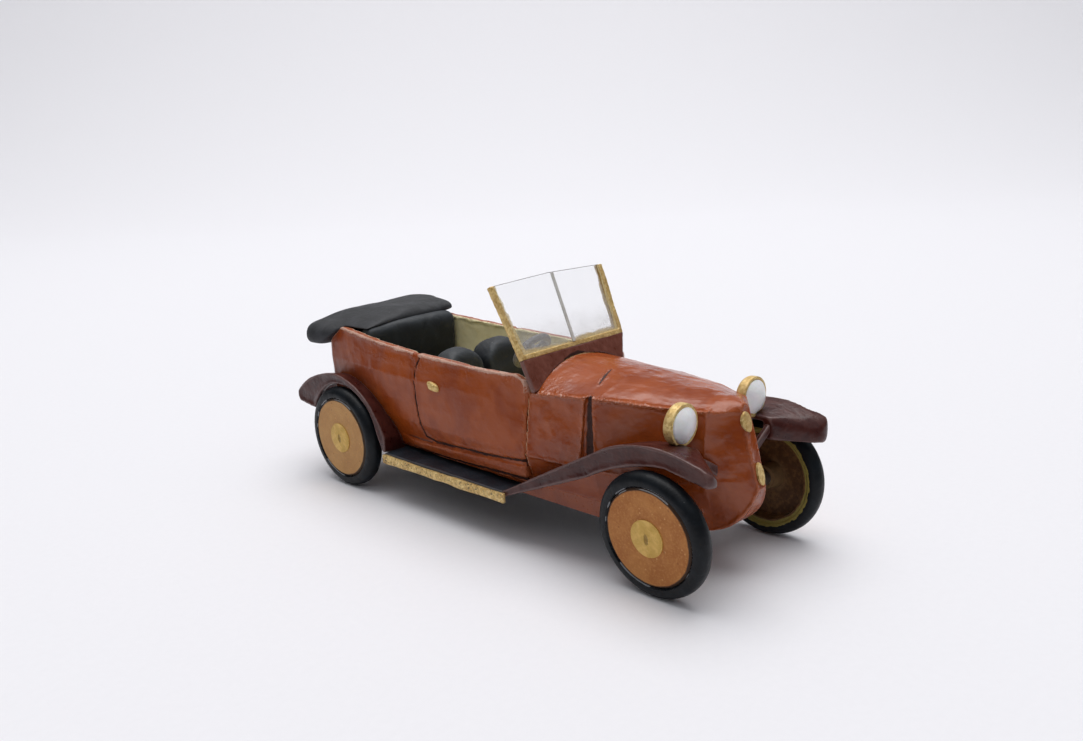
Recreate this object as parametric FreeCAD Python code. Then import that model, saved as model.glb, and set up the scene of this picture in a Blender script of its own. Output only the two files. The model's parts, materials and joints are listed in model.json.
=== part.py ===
"""Hand-painted miniature of a 1920s open touring car, in millimetres.

+Z is up, -Y is the front, -X is the car's right-hand side. The origin is on the floor,
under the middle of the car. Body and chassis castings, wings, seats and windscreen are
one rigid body; each of the four wheels turns by itself on the end of a wire axle.
"""
import FreeCAD, Part
import math
import os

Vector = FreeCAD.Vector
ACROSS = Vector(1, 0, 0)
ALONG = Vector(0, 1, 0)
UP = Vector(0, 0, 1)
SIDES = (("right", -1), ("left", 1))

# ------------------------------------------------------------------ driving sizes
wheelbase = 30.3
front_overhang = 4.45            # front axle to the tip of the front wings
rear_overhang = 6.55             # rear axle to the back of the folded hood
half_track = 6.85                # middle of the car to the outer face of a wheel
front_camber = 3.85              # degrees, tops of the wheels leaning outwards
rear_camber = 0.95

tyre_radius = 3.95
tyre_width = 1.30
tyre_rounding = 0.62             # radius of the tread's two edges
rim_radius = 3.10                # the disc carries the tyre at this radius
disc_plate = 0.40                # thickness of the disc's outer plate
rim_wall = 0.24
hub_boss_radius = 0.95
hub_boss_length = 1.30           # outer face of the disc to the inner end of the boss
hub_cap_radius = 1.17
hub_cap_rise = 0.12

axle_radius = 0.32
running_clearance = 0.04         # radial gap between an axle end and its wheel's bore
end_play = 0.06                  # gap on each side of a wheel, along its axle
axle_head_radius = 0.55
axle_head_thickness = 0.20
axle_bend = 2.0                  # outer face of a wheel to the bend in its axle
bend_swell = 0.05                # the wire is a little thicker where it is bent
axle_cover = 0.20                # metal left over an axle where it is buried

sill_height = 3.80               # underside of the body casting
chassis_bottom = 2.65
chassis_half_width = 3.95
chassis_front = 2.6              # behind the front axle
chassis_tail = 1.9               # behind the rear axle
floor_thickness = 0.45
waist_height = 6.20              # the sides lean in below this

bonnet_seam = 6.10               # behind the front axle, at the groove's top
seam_lean = 0.10                 # its foot is further forward, by this much for each unit down
scuttle_back = 11.2
seam_top = 10.75                 # the groove ends at the shoulder crease
seam_top_width = 0.50
seam_foot_width = 1.05           # the groove is wider lower down
seam_foot = 6.6
seam_depth = 0.18
nose_bottom = 2.55
ridge_foot = 3.38                # ahead of the front axle, at the lowest point of the ridge
ridge_foot_height = 5.7
ridge_lean = 0.264               # the ridge leans back by this much for each unit of height
ridge_half_width = 0.42
ridge_shoulder_height = 10.30
ridge_crown_height = 10.72

tub_tail = 3.75                  # the back of the tub, behind the rear axle
tub_wall = 0.50
tub_corner_length = 0.9          # length of the rounded rear corners
tub_corner_width = 0.85
tub_widest = 8.85                # the tub's widest place, behind the scuttle
rail_front_height = 10.75        # top edge of the tub's sides
rail_dip_height = 11.37
rail_back_height = 12.10
rail_end = 2.2                   # behind the rear axle; the edge slopes down from here, under the hood
rail_slope_drop = 1.55
rail_rise = 1.1                  # length of the short rise behind the windscreen

door_length = 10.9
door_bottom = 5.15
door_corner = 0.7
door_groove = 0.18
door_groove_depth = 0.13
handle_length = 1.1
handle_height = 0.45
handle_rise = 0.22
handle_drop = 1.65               # below the top edge of the door
handle_inset = 1.6               # in front of the door's rear edge

screen_rake = 25.64              # degrees from upright
screen_top_height = 17.1
screen_peak = 0.15               # the middle of the top edge stands this much higher
screen_glass_bottom = 12.42
screen_top_half_width = 5.52
screen_bottom_half_width = 5.07
screen_foot_right = 5.02         # half widths of the apron's foot, hand-cut unevenly
screen_foot_left = 3.9
screen_foot_height = 10.45
screen_setback = 0.55            # foot of the screen, in front of the scuttle's back end
screen_thickness = 0.28
screen_edge_width = 0.34
screen_rim = 0.04                # the frame is this much thicker than the pane, on each face
screen_band_height = 0.28
screen_bar_width = 0.24
bar_thickness = 0.08
screen_bar_top_offset = 0.33     # the bar stands to the left of the middle, leaning a little
screen_bar_foot_offset = 0.06

wing_inset = 0.43                # outer face of a wing, inside the outer face of a wheel
wing_inner = 2.5                 # the wings reach this far in, under the body
wing_plate = 0.36
wing_fall = 0.18                 # a wing's top sinks by this much for each unit towards the body
front_wing_gap = 1.45            # top of the tyre to the top of the front wing
front_wing_foot = 12.6           # behind the front axle, where it meets the running board
front_wing_inner = 3.75          # inner corner of the wing's front edge
front_roll_reach = 1.15          # a front wing's top rolls down over this much behind its front edge
front_roll_drop = 1.0            # and is this much lower at the edge
rear_wing_gap = 0.97             # top of the tyre to the top of the rear wing
rear_wing_foot = 5.0             # front edge of the rear wing, ahead of the rear axle
rear_wing_tail = 6.2             # its tail, behind the rear axle
rear_wing_hem_gap = 0.24         # tread of the tyre to the edge of the skirt round it

stay_setback = 1.2               # stay under the front wing, ahead of the front axle
stay_thickness = 0.30
stay_width = 0.8

board_top = 3.65
board_thickness = 0.42
board_lip = 0.03                 # the running board stands this far outside the wings
strip_height = 0.62
strip_drop = 0.10                # the strip's upper edge, under the top of the board
strip_lead = 0.35                # the strip reaches this far ahead of the board
strip_width = 0.24

lamp_spread = 3.72
lamp_height = 10.03
lamp_lens_radius = 1.10
lamp_radius = 1.31
lamp_depth = 0.78
lamp_front = 0.44                # lens plane, ahead of the front axle
lens_bulge = 0.30
lamp_back_rounding = 0.35
lamp_arm_radius = 0.30
lamp_arm_length = 2.4
lens_seat = 0.12

dash_depth = 1.25
dash_bottom = 8.4

seat_width = 3.9
seat_gap = 0.4
seat_top = 11.5
seat_height = 2.05
seat_depth = 3.4                 # front edge of the cushion to the backrest
seat_back_thickness = 2.0
front_seat_setback = 10.8         # back of the front seats, behind the scuttle
rear_seat_front = 5.2            # front edge of the rear seat, ahead of the rear axle
rear_seat_depth = 4.2            # front edge of the cushion to the backrest
rear_seat_height = 2.4
rear_seat_back_thickness = 1.6

hood_front = 1.2                 # front edge of the folded hood, ahead of the rear axle
hood_top = 13.3                  # the highest place, left of the middle
hood_right_drop = 0.98           # the ends of the roll are lower than its top by these
hood_left_drop = 0.30
hood_bottom = 10.35
hood_inner_half_width = 4.4      # where it lies between the tub's sides
hood_back_half_width = 5.25      # where it hangs out behind the tub
hood_rounding = 1.25
hood_front_drop = 1.15           # lower edge of its front, which rests on the rear seat's back

steering_radius = 1.55
steering_rim = 0.25
steering_height = 12.3
steering_angle = 38.0            # the column, from level
steering_setback = 2.25

# ------------------------------------------------------------------ derived places
front_axle_y = (front_overhang - wheelbase - rear_overhang) / 2
rear_axle_y = front_axle_y + wheelbase
scuttle_y = front_axle_y + scuttle_back
tub_back_y = rear_axle_y + tub_tail
tail_y = rear_axle_y + rear_overhang
wing_foot_y = front_axle_y + front_wing_foot
wing_outer = half_track - wing_inset
board_outer = wing_outer + board_lip
front_wing_crest = 2 * tyre_radius + front_wing_gap
rear_wing_crest = 2 * tyre_radius + rear_wing_gap
hood_front_y = rear_axle_y - hood_front


# ------------------------------------------------------------------ small helpers
def line(a, b):
    return Part.LineSegment(a, b).toShape()


def arc(a, middle, b):
    return Part.Arc(a, middle, b).toShape()


def closed(points):
    return Part.makePolygon(list(points) + [points[0]])


def side_point(y, z):
    return Vector(0, y, z)


def prism(wire, direction):
    return Part.Face(wire).extrude(direction)


def across(wire, half):
    """A side-view outline, made into a solid across the whole car."""
    solid = prism(wire, Vector(2 * half, 0, 0))
    solid.translate(Vector(-half, 0, 0))
    return solid


def block(x0, x1, y0, y1, z0, z1):
    return Part.makeBox(x1 - x0, y1 - y0, z1 - z0, Vector(x0, y0, z0))


def mirrored(shape):
    return shape.mirror(Vector(0, 0, 0), ACROSS)


def one_solid(shape):
    shape = shape.removeSplitter()
    return shape.Solids[0] if len(shape.Solids) == 1 else shape


def export(name, shape):
    shape = one_solid(shape)
    shape.exportStep("parts/" + name + ".step")


def rod(a, b, radius):
    run = b - a
    return Part.makeCylinder(radius, run.Length, a, run)


# ------------------------------------------------------------------ wheels and axles
def wheel_pose(camber):
    """Centre height of a wheel's outer face, for a tyre that stands on the floor."""
    lean = math.radians(camber)
    corner = tyre_radius - tyre_rounding
    overhang = tyre_width / 2 - tyre_rounding
    middle = corner * math.cos(lean) + overhang * math.sin(lean) + tyre_rounding
    return middle - tyre_width / 2 * math.sin(lean)


def wheel_axis(side, camber):
    lean = math.radians(camber)
    return Vector(side * math.cos(lean), 0, -math.sin(lean))


def wheel_point(side, axle_y, camber, inward):
    face = Vector(side * half_track, axle_y, wheel_pose(camber))
    return face - wheel_axis(side, camber) * inward


def turned(points):
    """A ring from (radius, distance inward from the outer face) points."""
    return closed([Vector(radius, 0, -inward) for radius, inward in points])


def placed(shape, side, axle_y, camber):
    """Moves a shape turned about +Z, outer face at zero, onto a wheel's axis."""
    spin = FreeCAD.Rotation(UP, wheel_axis(side, camber))
    moved = shape.copy()
    moved.Placement = FreeCAD.Placement(wheel_point(side, axle_y, camber, 0), spin)
    return moved


def tyre_solid():
    r = tyre_radius
    w = tyre_width
    c = tyre_rounding
    s = c * (1 - math.sqrt(0.5))
    bead = 0.12
    edges = [
        line(Vector(rim_radius, 0, -bead), Vector(rim_radius + bead, 0, 0)),
        line(Vector(rim_radius + bead, 0, 0), Vector(r - c, 0, 0)),
        arc(Vector(r - c, 0, 0), Vector(r - s, 0, -s), Vector(r, 0, -c)),
        line(Vector(r, 0, -c), Vector(r, 0, c - w)),
        arc(Vector(r, 0, c - w), Vector(r - s, 0, s - w), Vector(r - c, 0, -w)),
        line(Vector(r - c, 0, -w), Vector(rim_radius + bead, 0, -w)),
        line(Vector(rim_radius + bead, 0, -w), Vector(rim_radius, 0, bead - w)),
        line(Vector(rim_radius, 0, bead - w), Vector(rim_radius, 0, -bead)),
    ]
    return Part.Face(Part.Wire(edges)).revolve(Vector(0, 0, 0), UP, 360)


pocket_floor = end_play * 2 + axle_head_thickness
pocket_radius = axle_head_radius + running_clearance
bore_radius = axle_radius + running_clearance


def disc_solid():
    inner = rim_radius - rim_wall
    bevel = 0.12
    profile = turned([
        (pocket_radius, 0),
        (rim_radius - bevel, 0),
        (rim_radius, bevel),
        (rim_radius, tyre_width - bevel),
        (inner, tyre_width - bevel),
        (inner - bevel, disc_plate),
        (hub_boss_radius, disc_plate),
        (hub_boss_radius * 0.8, hub_boss_length),
        (bore_radius, hub_boss_length),
        (bore_radius, pocket_floor),
        (pocket_radius, pocket_floor),
    ])
    return Part.Face(profile).revolve(Vector(0, 0, 0), UP, 360)


def hub_cap_solid():
    r = hub_cap_radius
    edge = hub_cap_rise / 2
    dent = 0.12
    edges = [
        line(Vector(0, 0, 0), Vector(r, 0, 0)),
        line(Vector(r, 0, 0), Vector(r, 0, edge)),
        arc(Vector(r, 0, edge), Vector(r * 0.6, 0, hub_cap_rise * 0.86), Vector(dent, 0, hub_cap_rise)),
        line(Vector(dent, 0, hub_cap_rise), Vector(0, 0, edge)),
        line(Vector(0, 0, edge), Vector(0, 0, 0)),
    ]
    return Part.Face(Part.Wire(edges)).revolve(Vector(0, 0, 0), UP, 360)


def axle_solid(axle_y, camber):
    """A wire across the car whose ends are bent to the wheels' lean, with headed tips."""
    bends = [wheel_point(side, axle_y, camber, axle_bend) for _, side in SIDES]
    wire = rod(bends[0], bends[1], axle_radius)
    for _, side in SIDES:
        bend = wheel_point(side, axle_y, camber, axle_bend)
        collar = wheel_point(side, axle_y, camber, hub_boss_length + end_play)
        head = wheel_point(side, axle_y, camber, end_play + axle_head_thickness)
        tip = wheel_point(side, axle_y, camber, end_play)
        wire = wire.fuse([
            Part.makeSphere(axle_radius + bend_swell, bend),
            rod(bend, tip, axle_radius),
            rod(bend, collar, axle_head_radius),
            rod(head, tip, axle_head_radius),
        ])
    return wire


def axle_height(camber):
    return wheel_point(1, 0, camber, axle_bend).z


AXLES = (("front", front_axle_y, front_camber), ("rear", rear_axle_y, rear_camber))
axle_solids = {name: axle_solid(y, camber) for name, y, camber in AXLES}


def make_wheels():
    for axle_name, axle_y, camber in AXLES:
        export(axle_name + "_axle", axle_solids[axle_name])
        for side_name, side in SIDES:
            ending = axle_name + "_" + side_name
            export("tyre_" + ending, placed(tyre_solid(), side, axle_y, camber))
            export("wheel_disc_" + ending, placed(disc_solid(), side, axle_y, camber))
            export("hub_cap_" + ending, placed(hub_cap_solid(), side, axle_y, camber))


# ------------------------------------------------------------------ bonnet and scuttle
# Sections of the front casting: distance behind the front axle, half width at the
# waist, half width at the shoulder crease, height of the crease, height of the crown.
FRONT_SECTIONS = (
    (scuttle_back, 5.42, 4.85, 10.30, 11.92),
    (5.7, 5.00, 4.50, 10.75, 11.52),
    (1.6, 3.80, 3.20, 10.62, 11.15),
    (-0.8, 2.55, 2.15, 10.50, 10.95),
)
under_taper = 0.36               # the sides lean in by this much for each unit below the waist


def front_outline(place, waist, shoulder, crease, crown):
    """One closed section; place gives the point at a sideways distance and a height."""
    foot = waist - under_taper * (waist_height - nose_bottom)
    foot = max(foot, ridge_half_width)
    right = [place(-foot, nose_bottom), place(-waist, waist_height), place(-shoulder, crease)]
    left = [place(foot, nose_bottom), place(waist, waist_height), place(shoulder, crease)]
    return Part.Wire([
        line(left[0], right[0]),
        line(right[0], right[1]),
        line(right[1], right[2]),
        arc(right[2], place(0, crown), left[2]),
        line(left[2], left[1]),
        line(left[1], left[0]),
    ])


def ridge_y(height):
    return front_axle_y - ridge_foot + (height - ridge_foot_height) * ridge_lean


def front_casting(inset):
    """The whole front of the body, with its skin moved in by the inset."""
    wires = []
    for station, waist, shoulder, crease, crown in FRONT_SECTIONS:
        y = front_axle_y + station
        place = lambda x, z, y=y: Vector(x, y, z)
        wires.append(front_outline(place, waist - inset, shoulder - inset, crease - inset, crown - inset))
    place = lambda x, z: Vector(x, ridge_y(z) + inset, z)
    half = ridge_half_width
    wires.append(front_outline(place, half, half, ridge_shoulder_height - inset, ridge_crown_height - inset))
    return Part.makeLoft(wires, True, True)


def nose_cutter():
    """What is below and ahead of the rounded chin."""
    foot = side_point(front_axle_y, nose_bottom)
    chin = side_point(ridge_y(ridge_foot_height), ridge_foot_height)
    bulge = side_point(front_axle_y - ridge_foot * 0.68, nose_bottom + 1.05)
    ahead = side_point(chin.y - ridge_foot, ridge_foot_height)
    below = side_point(chin.y - ridge_foot, 0)
    behind = side_point(front_axle_y, 0)
    outline = Part.Wire([
        arc(foot, bulge, chin),
        line(chin, ahead),
        line(ahead, below),
        line(below, behind),
        line(behind, foot),
    ])
    return across(outline, board_outer)


chassis_top = axle_height(rear_camber) + axle_radius + axle_cover
chassis_y0 = front_axle_y + chassis_front
chassis_y1 = rear_axle_y + chassis_tail
FAR = 60.0


def below_sill():
    """The space under the sill line, behind the front of the chassis."""
    return block(-FAR, FAR, chassis_y0, FAR, 0, sill_height)


def chassis_space():
    return block(-chassis_half_width, chassis_half_width, chassis_y0, chassis_y1,
                 chassis_bottom, chassis_top)


front_full = front_casting(0).cut(nose_cutter())
front_inner = front_casting(seam_depth)


def seam_point(height, behind):
    """A point level with the leaning seam, or a distance behind it."""
    return side_point(front_axle_y + bonnet_seam - (seam_top - height) * seam_lean + behind, height)


def seam_wedge():
    """The groove behind the bonnet, as a wedge across the car."""
    front = [seam_point(seam_foot, 0), seam_point(seam_top, 0)]
    back = [seam_point(seam_top, seam_top_width), seam_point(seam_foot, seam_foot_width)]
    return across(closed(front + back), FAR)


def make_front():
    casting = front_full.cut(below_sill()).cut(chassis_space())
    ahead = [seam_point(0, 0), seam_point(FAR, 0), side_point(-FAR, FAR), side_point(-FAR, 0)]
    ahead = across(closed(ahead), FAR)
    scuttle = casting.cut(ahead).common(block(-FAR, FAR, -FAR, scuttle_y, 0, FAR))
    bonnet = casting.common(ahead)
    export("scuttle", scuttle.cut(seam_wedge().cut(front_inner)))
    export("bonnet", bonnet.cut(axle_solids["front"]))


# ------------------------------------------------------------------ tub
# Levels of the tub's skin: height, then half widths at the scuttle, at the widest place
# and where the rear corners start to turn.
TUB_LEVELS = (
    (sill_height, 4.80, 4.72, 4.00),
    (5.2, 5.26, 5.10, 4.32),
    (waist_height, 5.45, 5.42, 4.56),
    (7.8, 5.28, 5.62, 4.72),
    (9.6, 5.05, 5.66, 4.75),
    (11.2, 5.00, 5.36, 4.58),
    (12.8, 4.95, 5.26, 4.32),
)


def tub_outline(height, front, middle, rear, inset, front_y=scuttle_y):
    front = front - inset
    middle = middle - inset
    rear = rear - inset
    back = rear - tub_corner_width
    corner_y = tub_back_y - tub_corner_length
    back_y = tub_back_y - inset
    bend_x = rear - tub_corner_width * 0.28
    bend_y = corner_y + (back_y - corner_y) * 0.72
    middle_y = scuttle_y + tub_widest

    def at(x, y):
        return Vector(x, y, height)

    return Part.Wire([
        line(at(front, front_y), at(-front, front_y)),
        arc(at(-front, front_y), at(-middle, middle_y), at(-rear, corner_y)),
        arc(at(-rear, corner_y), at(-bend_x, bend_y), at(-back, back_y)),
        line(at(-back, back_y), at(back, back_y)),
        arc(at(back, back_y), at(bend_x, bend_y), at(rear, corner_y)),
        arc(at(rear, corner_y), at(middle, middle_y), at(front, front_y)),
    ])


def tub_skin(depth):
    wires = [tub_outline(height, front, middle, rear, depth) for height, front, middle, rear in TUB_LEVELS]
    return Part.makeLoft(wires, True, True)


def tub_room(gap, front_y=scuttle_y):
    """The upright room inside the tub's walls, smaller by the gap."""
    _, front, middle, rear = TUB_LEVELS[-1]
    outline = tub_outline(floor_top, front, middle, rear, tub_wall + gap, front_y)
    return prism(outline, Vector(0, 0, FAR / 2))


def above_rail():
    """What is above the top edge of the tub's sides."""
    foot = side_point(scuttle_y - 1, rail_front_height)
    start = side_point(scuttle_y, rail_front_height)
    shoulder = side_point(scuttle_y + rail_rise, rail_dip_height)
    dip = side_point((scuttle_y + rear_axle_y) / 2 + rail_end, rail_dip_height + 0.19)
    end = side_point(rear_axle_y + rail_end, rail_back_height)
    low = side_point(tub_back_y, rail_back_height - rail_slope_drop)
    back = side_point(tub_back_y + 1, low.z)
    top = FAR / 2
    outline = Part.Wire([
        line(foot, start),
        line(start, shoulder),
        arc(shoulder, dip, end),
        line(end, low),
        line(low, back),
        line(back, side_point(back.y, top)),
        line(side_point(back.y, top), side_point(foot.y, top)),
        line(side_point(foot.y, top), foot),
    ])
    return across(outline, board_outer)


door_back_y = scuttle_y + door_length
floor_top = chassis_top + floor_thickness


def door_prism(margin):
    """The door's outline through the whole car, larger by the margin."""
    front = scuttle_y - 1
    back = door_back_y + margin
    low = door_bottom - margin
    corner = door_corner + margin
    turn = corner * (1 - math.sqrt(0.5))
    turned = side_point(back - turn, low + turn)
    outline = Part.Wire([
        line(side_point(front, FAR / 2), side_point(front, low)),
        line(side_point(front, low), side_point(back - corner, low)),
        arc(side_point(back - corner, low), turned, side_point(back, low + corner)),
        line(side_point(back, low + corner), side_point(back, FAR / 2)),
        line(side_point(back, FAR / 2), side_point(front, FAR / 2)),
    ])
    return across(outline, board_outer)


tub_full = tub_skin(0)
tub_closed = tub_full.cut(above_rail())


def tub_solid():
    cavity = tub_room(0)
    open_front = block(-FAR, FAR, scuttle_y - 1, scuttle_y + tub_wall, floor_top, FAR)
    open_front = open_front.common(tub_room(0, scuttle_y - 1))
    groove = door_prism(door_groove).cut(door_prism(0)).cut(tub_skin(door_groove_depth))
    front_groove = block(-FAR, FAR, scuttle_y, scuttle_y + door_groove, door_bottom, FAR)
    front_groove = front_groove.cut(tub_skin(door_groove_depth))
    axle_z = axle_height(rear_camber)
    axle_slot = rod(Vector(-FAR, rear_axle_y, axle_z), Vector(FAR, rear_axle_y, axle_z), axle_head_radius)
    slot_mouth = block(-FAR, FAR, rear_axle_y - axle_head_radius, rear_axle_y + axle_head_radius, 0, axle_z)
    tub = tub_closed.cut(cavity).cut(open_front).cut(chassis_space())
    return tub.cut(groove).cut(front_groove).cut(axle_slot).cut(slot_mouth)


tub = tub_solid()


def make_chassis():
    chassis = chassis_space().cut(axle_solids["rear"]).cut(axle_solids["front"])
    export("chassis", chassis)


def make_door_handles():
    top = rail_dip_height - handle_drop
    y1 = door_back_y - handle_inset
    bar = block(-FAR, FAR, y1 - handle_length, y1, top - handle_height, top)
    skin = tub_skin(-handle_rise).common(bar).cut(tub_full)
    for side_name, side in SIDES:
        half = block(min(0, side * FAR), max(0, side * FAR), -FAR, FAR, 0, FAR)
        export("door_handle_" + side_name, skin.common(half))


# ------------------------------------------------------------------ wings and running boards
def tapered(outline, outer, inner):
    """A side-view outline run in from the outer face; it sinks towards the body."""
    face = outline.copy()
    face.translate(Vector(-outer, 0, 0))
    end = outline.copy()
    end.translate(Vector(-inner, 0, -wing_fall * (outer - inner)))
    return Part.makeLoft([face, end], True, True)


def front_wing_crown(drop):
    """Side view of the wing's top surface from the foot to the tip, moved down by the drop."""
    a = front_axle_y
    foot = side_point(wing_foot_y, board_top - drop)
    bend = side_point(a + 3.7, front_wing_crest - 0.85 - drop)
    crest = side_point(a - 0.4, front_wing_crest - drop)
    nose = side_point(a - 3.0, front_wing_crest - 0.45 - drop)
    bulge = side_point(a - front_overhang + 0.42, front_wing_crest - 0.80 - drop)
    tip = side_point(a - front_overhang, front_wing_crest - 1.22 - drop)
    return [line(foot, bend), arc(bend, crest, nose), arc(nose, bulge, tip)], foot, tip


def front_wing_outline():
    """The skirt's outline: shallow over the wheel, deeper towards the running board."""
    a = front_axle_y
    crown, foot, tip = front_wing_crown(0)
    chin = side_point(a - 4.16, front_wing_crest - 1.58)
    tip_hem = side_point(a - 3.40, front_wing_crest - 1.66)
    front_hem = side_point(a - 2.3, front_wing_crest - 1.40)
    crest_hem = side_point(a - 0.85, front_wing_crest - 1.10)
    back_hem = side_point(a + 2.0, front_wing_crest - 1.64)
    bend_hem = side_point(a + 5.0, front_wing_crest - 2.98)
    foot_hem = side_point(foot.y, foot.z - board_thickness)
    hem = [
        arc(tip, chin, tip_hem),
        arc(tip_hem, front_hem, crest_hem),
        arc(crest_hem, back_hem, bend_hem),
        line(bend_hem, foot_hem),
    ]
    return Part.Wire(crown + hem + [line(foot_hem, foot)])


def front_wing_edge(drop):
    """The straight front edge of the right wing: its outer end, its inner corner, the way back."""
    tip_y = front_axle_y - front_overhang
    nose = Vector(-wing_outer + 1.1, tip_y + 0.6, front_wing_crest - 0.50 - drop)
    corner = Vector(-front_wing_inner, front_axle_y - 1.6, front_wing_crest + 0.10 - drop)
    run = corner - nose
    return nose, corner, Vector(-run.y, run.x, 0).normalize()


def front_wing_plan(inset):
    """Right wing seen from above: the front edge runs from the inner corner to the tip."""
    nose, corner, back = front_wing_edge(0)
    nose = Vector(nose.x, nose.y, 0) + back * inset
    corner = Vector(corner.x, corner.y + inset / back.y, 0)
    outer = -wing_outer + inset
    side_end = Vector(outer, front_axle_y - front_overhang + 1.6, 0)
    bulge = Vector(outer + 0.32 - inset * 0.6, front_axle_y - front_overhang + 0.42 + inset * 1.3, 0)
    axle_corner = Vector(corner.x, front_axle_y + 1.2, 0)
    body_corner = Vector(-wing_inner, front_axle_y + 4.0, 0)
    edges = [
        line(Vector(outer, FAR, 0), side_end),
        arc(side_end, bulge, nose),
        line(nose, corner),
        line(corner, axle_corner),
        line(axle_corner, body_corner),
        line(body_corner, Vector(-wing_inner, FAR, 0)),
        line(Vector(-wing_inner, FAR, 0), Vector(outer, FAR, 0)),
    ]
    return prism(Part.Wire(edges), Vector(0, 0, FAR / 2))


def front_roll(drop):
    """What is taken off above the rolled front edge: an arc run along the edge, tip to corner."""
    nose, corner, back = front_wing_edge(drop)
    run = corner - nose
    start = nose - run
    fall = UP * front_roll_drop
    top = start + back * front_roll_reach
    middle = start + back * front_roll_reach * 0.32 - fall * 0.40
    ahead = start - back * 3
    section = [
        arc(top, middle, start - fall),
        line(start - fall, ahead - fall),
        line(ahead - fall, ahead + UP * 3),
        line(ahead + UP * 3, top + UP * 3),
        line(top + UP * 3, top),
    ]
    return prism(Part.Wire(section), run * 3)


def front_wing_under(drop):
    """Everything below the wing's top surface, moved down by the drop."""
    crown, foot, tip = front_wing_crown(drop)
    low = [side_point(tip.y, 0), side_point(foot.y, 0)]
    outline = Part.Wire(crown + [line(tip, low[0]), line(low[0], low[1]), line(low[1], foot)])
    return tapered(outline, wing_outer, wing_inner).cut(front_roll(drop))


# Front lips: side of the car, depth of the lower edge under the crest at the tip and at the corner.
FRONT_LIPS = (("right", 1.62, 1.75), ("left", 2.40, 1.95))


def front_lip(tip_depth, corner_depth):
    """The wall that hangs down along the front edge of a wing."""
    tip_y = front_axle_y - front_overhang
    crest = front_wing_crest
    window = closed([
        Vector(-wing_outer + 0.02, 0, crest - 1.0),
        Vector(-wing_outer + 0.02, 0, crest - tip_depth + 0.35),
        Vector(-wing_outer + 0.32, 0, crest - tip_depth),
        Vector(-front_wing_inner, 0, crest - corner_depth),
        Vector(-front_wing_inner, 0, crest),
        Vector(-wing_outer + 1.1, 0, crest),
    ])
    window = prism(window, Vector(0, -FAR, 0))
    ahead = block(-FAR, 0, -FAR, tip_y + 0.9, 0, FAR)
    ahead = ahead.fuse(block(-wing_outer + 0.8, 0, -FAR, front_axle_y - 0.6, 0, FAR))
    wall = front_wing_plan(0).cut(front_wing_plan(wing_plate)).common(ahead)
    return wall.common(window).common(front_wing_under(0))


def front_wing_solid(tip_depth, corner_depth):
    shell = tapered(front_wing_outline(), wing_outer, wing_inner).common(front_wing_plan(0))
    shell = shell.cut(front_roll(0))
    hollow = front_wing_under(wing_plate).common(front_wing_plan(wing_plate))
    behind = block(-FAR, FAR, wing_foot_y - wing_plate, FAR, 0, FAR)
    below = block(-FAR, FAR, -FAR, FAR, 0, board_top - board_thickness)
    wing = shell.cut(hollow.cut(behind)).cut(below).fuse(front_lip(tip_depth, corner_depth))
    return wing.cut(front_full).cut(tub_full).cut(chassis_space())


def rear_wing_crown(inset):
    """Side view of the top surface from the foot over the crest to the tail's lower corner."""
    a = rear_axle_y
    hub = side_point(a, axle_height(rear_camber))

    def inner(y, z):
        spoke = side_point(y, z) - hub
        return hub + spoke * (1 - inset / spoke.Length)

    foot = inner(a - rear_wing_foot, board_top)
    front = inner(a - rear_wing_foot, board_top + 1.2)
    rise = inner(a - 2.45, rear_wing_crest - 1.05)
    crest = inner(a + 0.9, rear_wing_crest)
    slope = inner(a + 4.0, rear_wing_crest - 0.75)
    back = inner(a + rear_wing_tail - 0.28, rear_wing_crest - 1.95)
    end = inner(a + rear_wing_tail, rear_wing_crest - 2.42)
    tail = inner(a + rear_wing_tail - 0.28, rear_wing_crest - 3.02)
    edges = [line(foot, front), arc(front, rise, crest), arc(crest, slope, back), arc(back, end, tail)]
    return edges, foot, tail


def rear_wing_outline():
    """The skirt's outline: it follows the tyre with a small gap and fills out at the tail."""
    a = rear_axle_y
    hub_z = axle_height(rear_camber)
    crown, foot, tail = rear_wing_crown(0)
    round_tyre = tyre_radius + rear_wing_hem_gap

    def near_tyre(degrees):
        turn = math.radians(degrees)
        return side_point(a + round_tyre * math.cos(turn), hub_z + round_tyre * math.sin(turn))

    foot_hem = side_point(foot.y + 0.3, foot.z)
    hem = [
        line(tail, near_tyre(23)),
        arc(near_tyre(23), near_tyre(90), near_tyre(163)),
        line(near_tyre(163), foot_hem),
    ]
    return Part.Wire(crown + hem + [line(foot_hem, foot)])


def rear_wing_hollow():
    crown, foot, tail = rear_wing_crown(wing_plate)
    low = [side_point(tail.y, 0), side_point(foot.y, 0)]
    return Part.Wire(crown + [line(tail, low[0]), line(low[0], low[1]), line(low[1], foot)])


def rear_wing_solid():
    shell = tapered(rear_wing_outline(), wing_outer, wing_inner)
    hollow = tapered(rear_wing_hollow(), wing_outer, wing_inner)
    skirt = block(-FAR, wing_plate - wing_outer, -FAR, FAR, 0, FAR)
    return shell.cut(hollow.cut(skirt)).cut(tub_full).cut(chassis_space())


def stay_solid():
    """A flat strut from under the right wing's front edge down to the side of the nose."""
    y = front_axle_y - stay_setback
    high = front_wing_crest - wing_plate - front_roll_drop * 0.6
    low = waist_height + 0.2
    inner = ridge_half_width
    outline = closed([
        Vector(-front_wing_inner - stay_width, y, high),
        Vector(-front_wing_inner, y, high),
        Vector(-inner, y, low),
        Vector(-inner, y, low - stay_width),
    ])
    return prism(outline, Vector(0, -stay_thickness, 0)).cut(front_full)


board_y0 = wing_foot_y
board_y1 = rear_axle_y - rear_wing_foot
front_wings = {side: front_wing_solid(tip, corner) for side, tip, corner in FRONT_LIPS}


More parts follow.
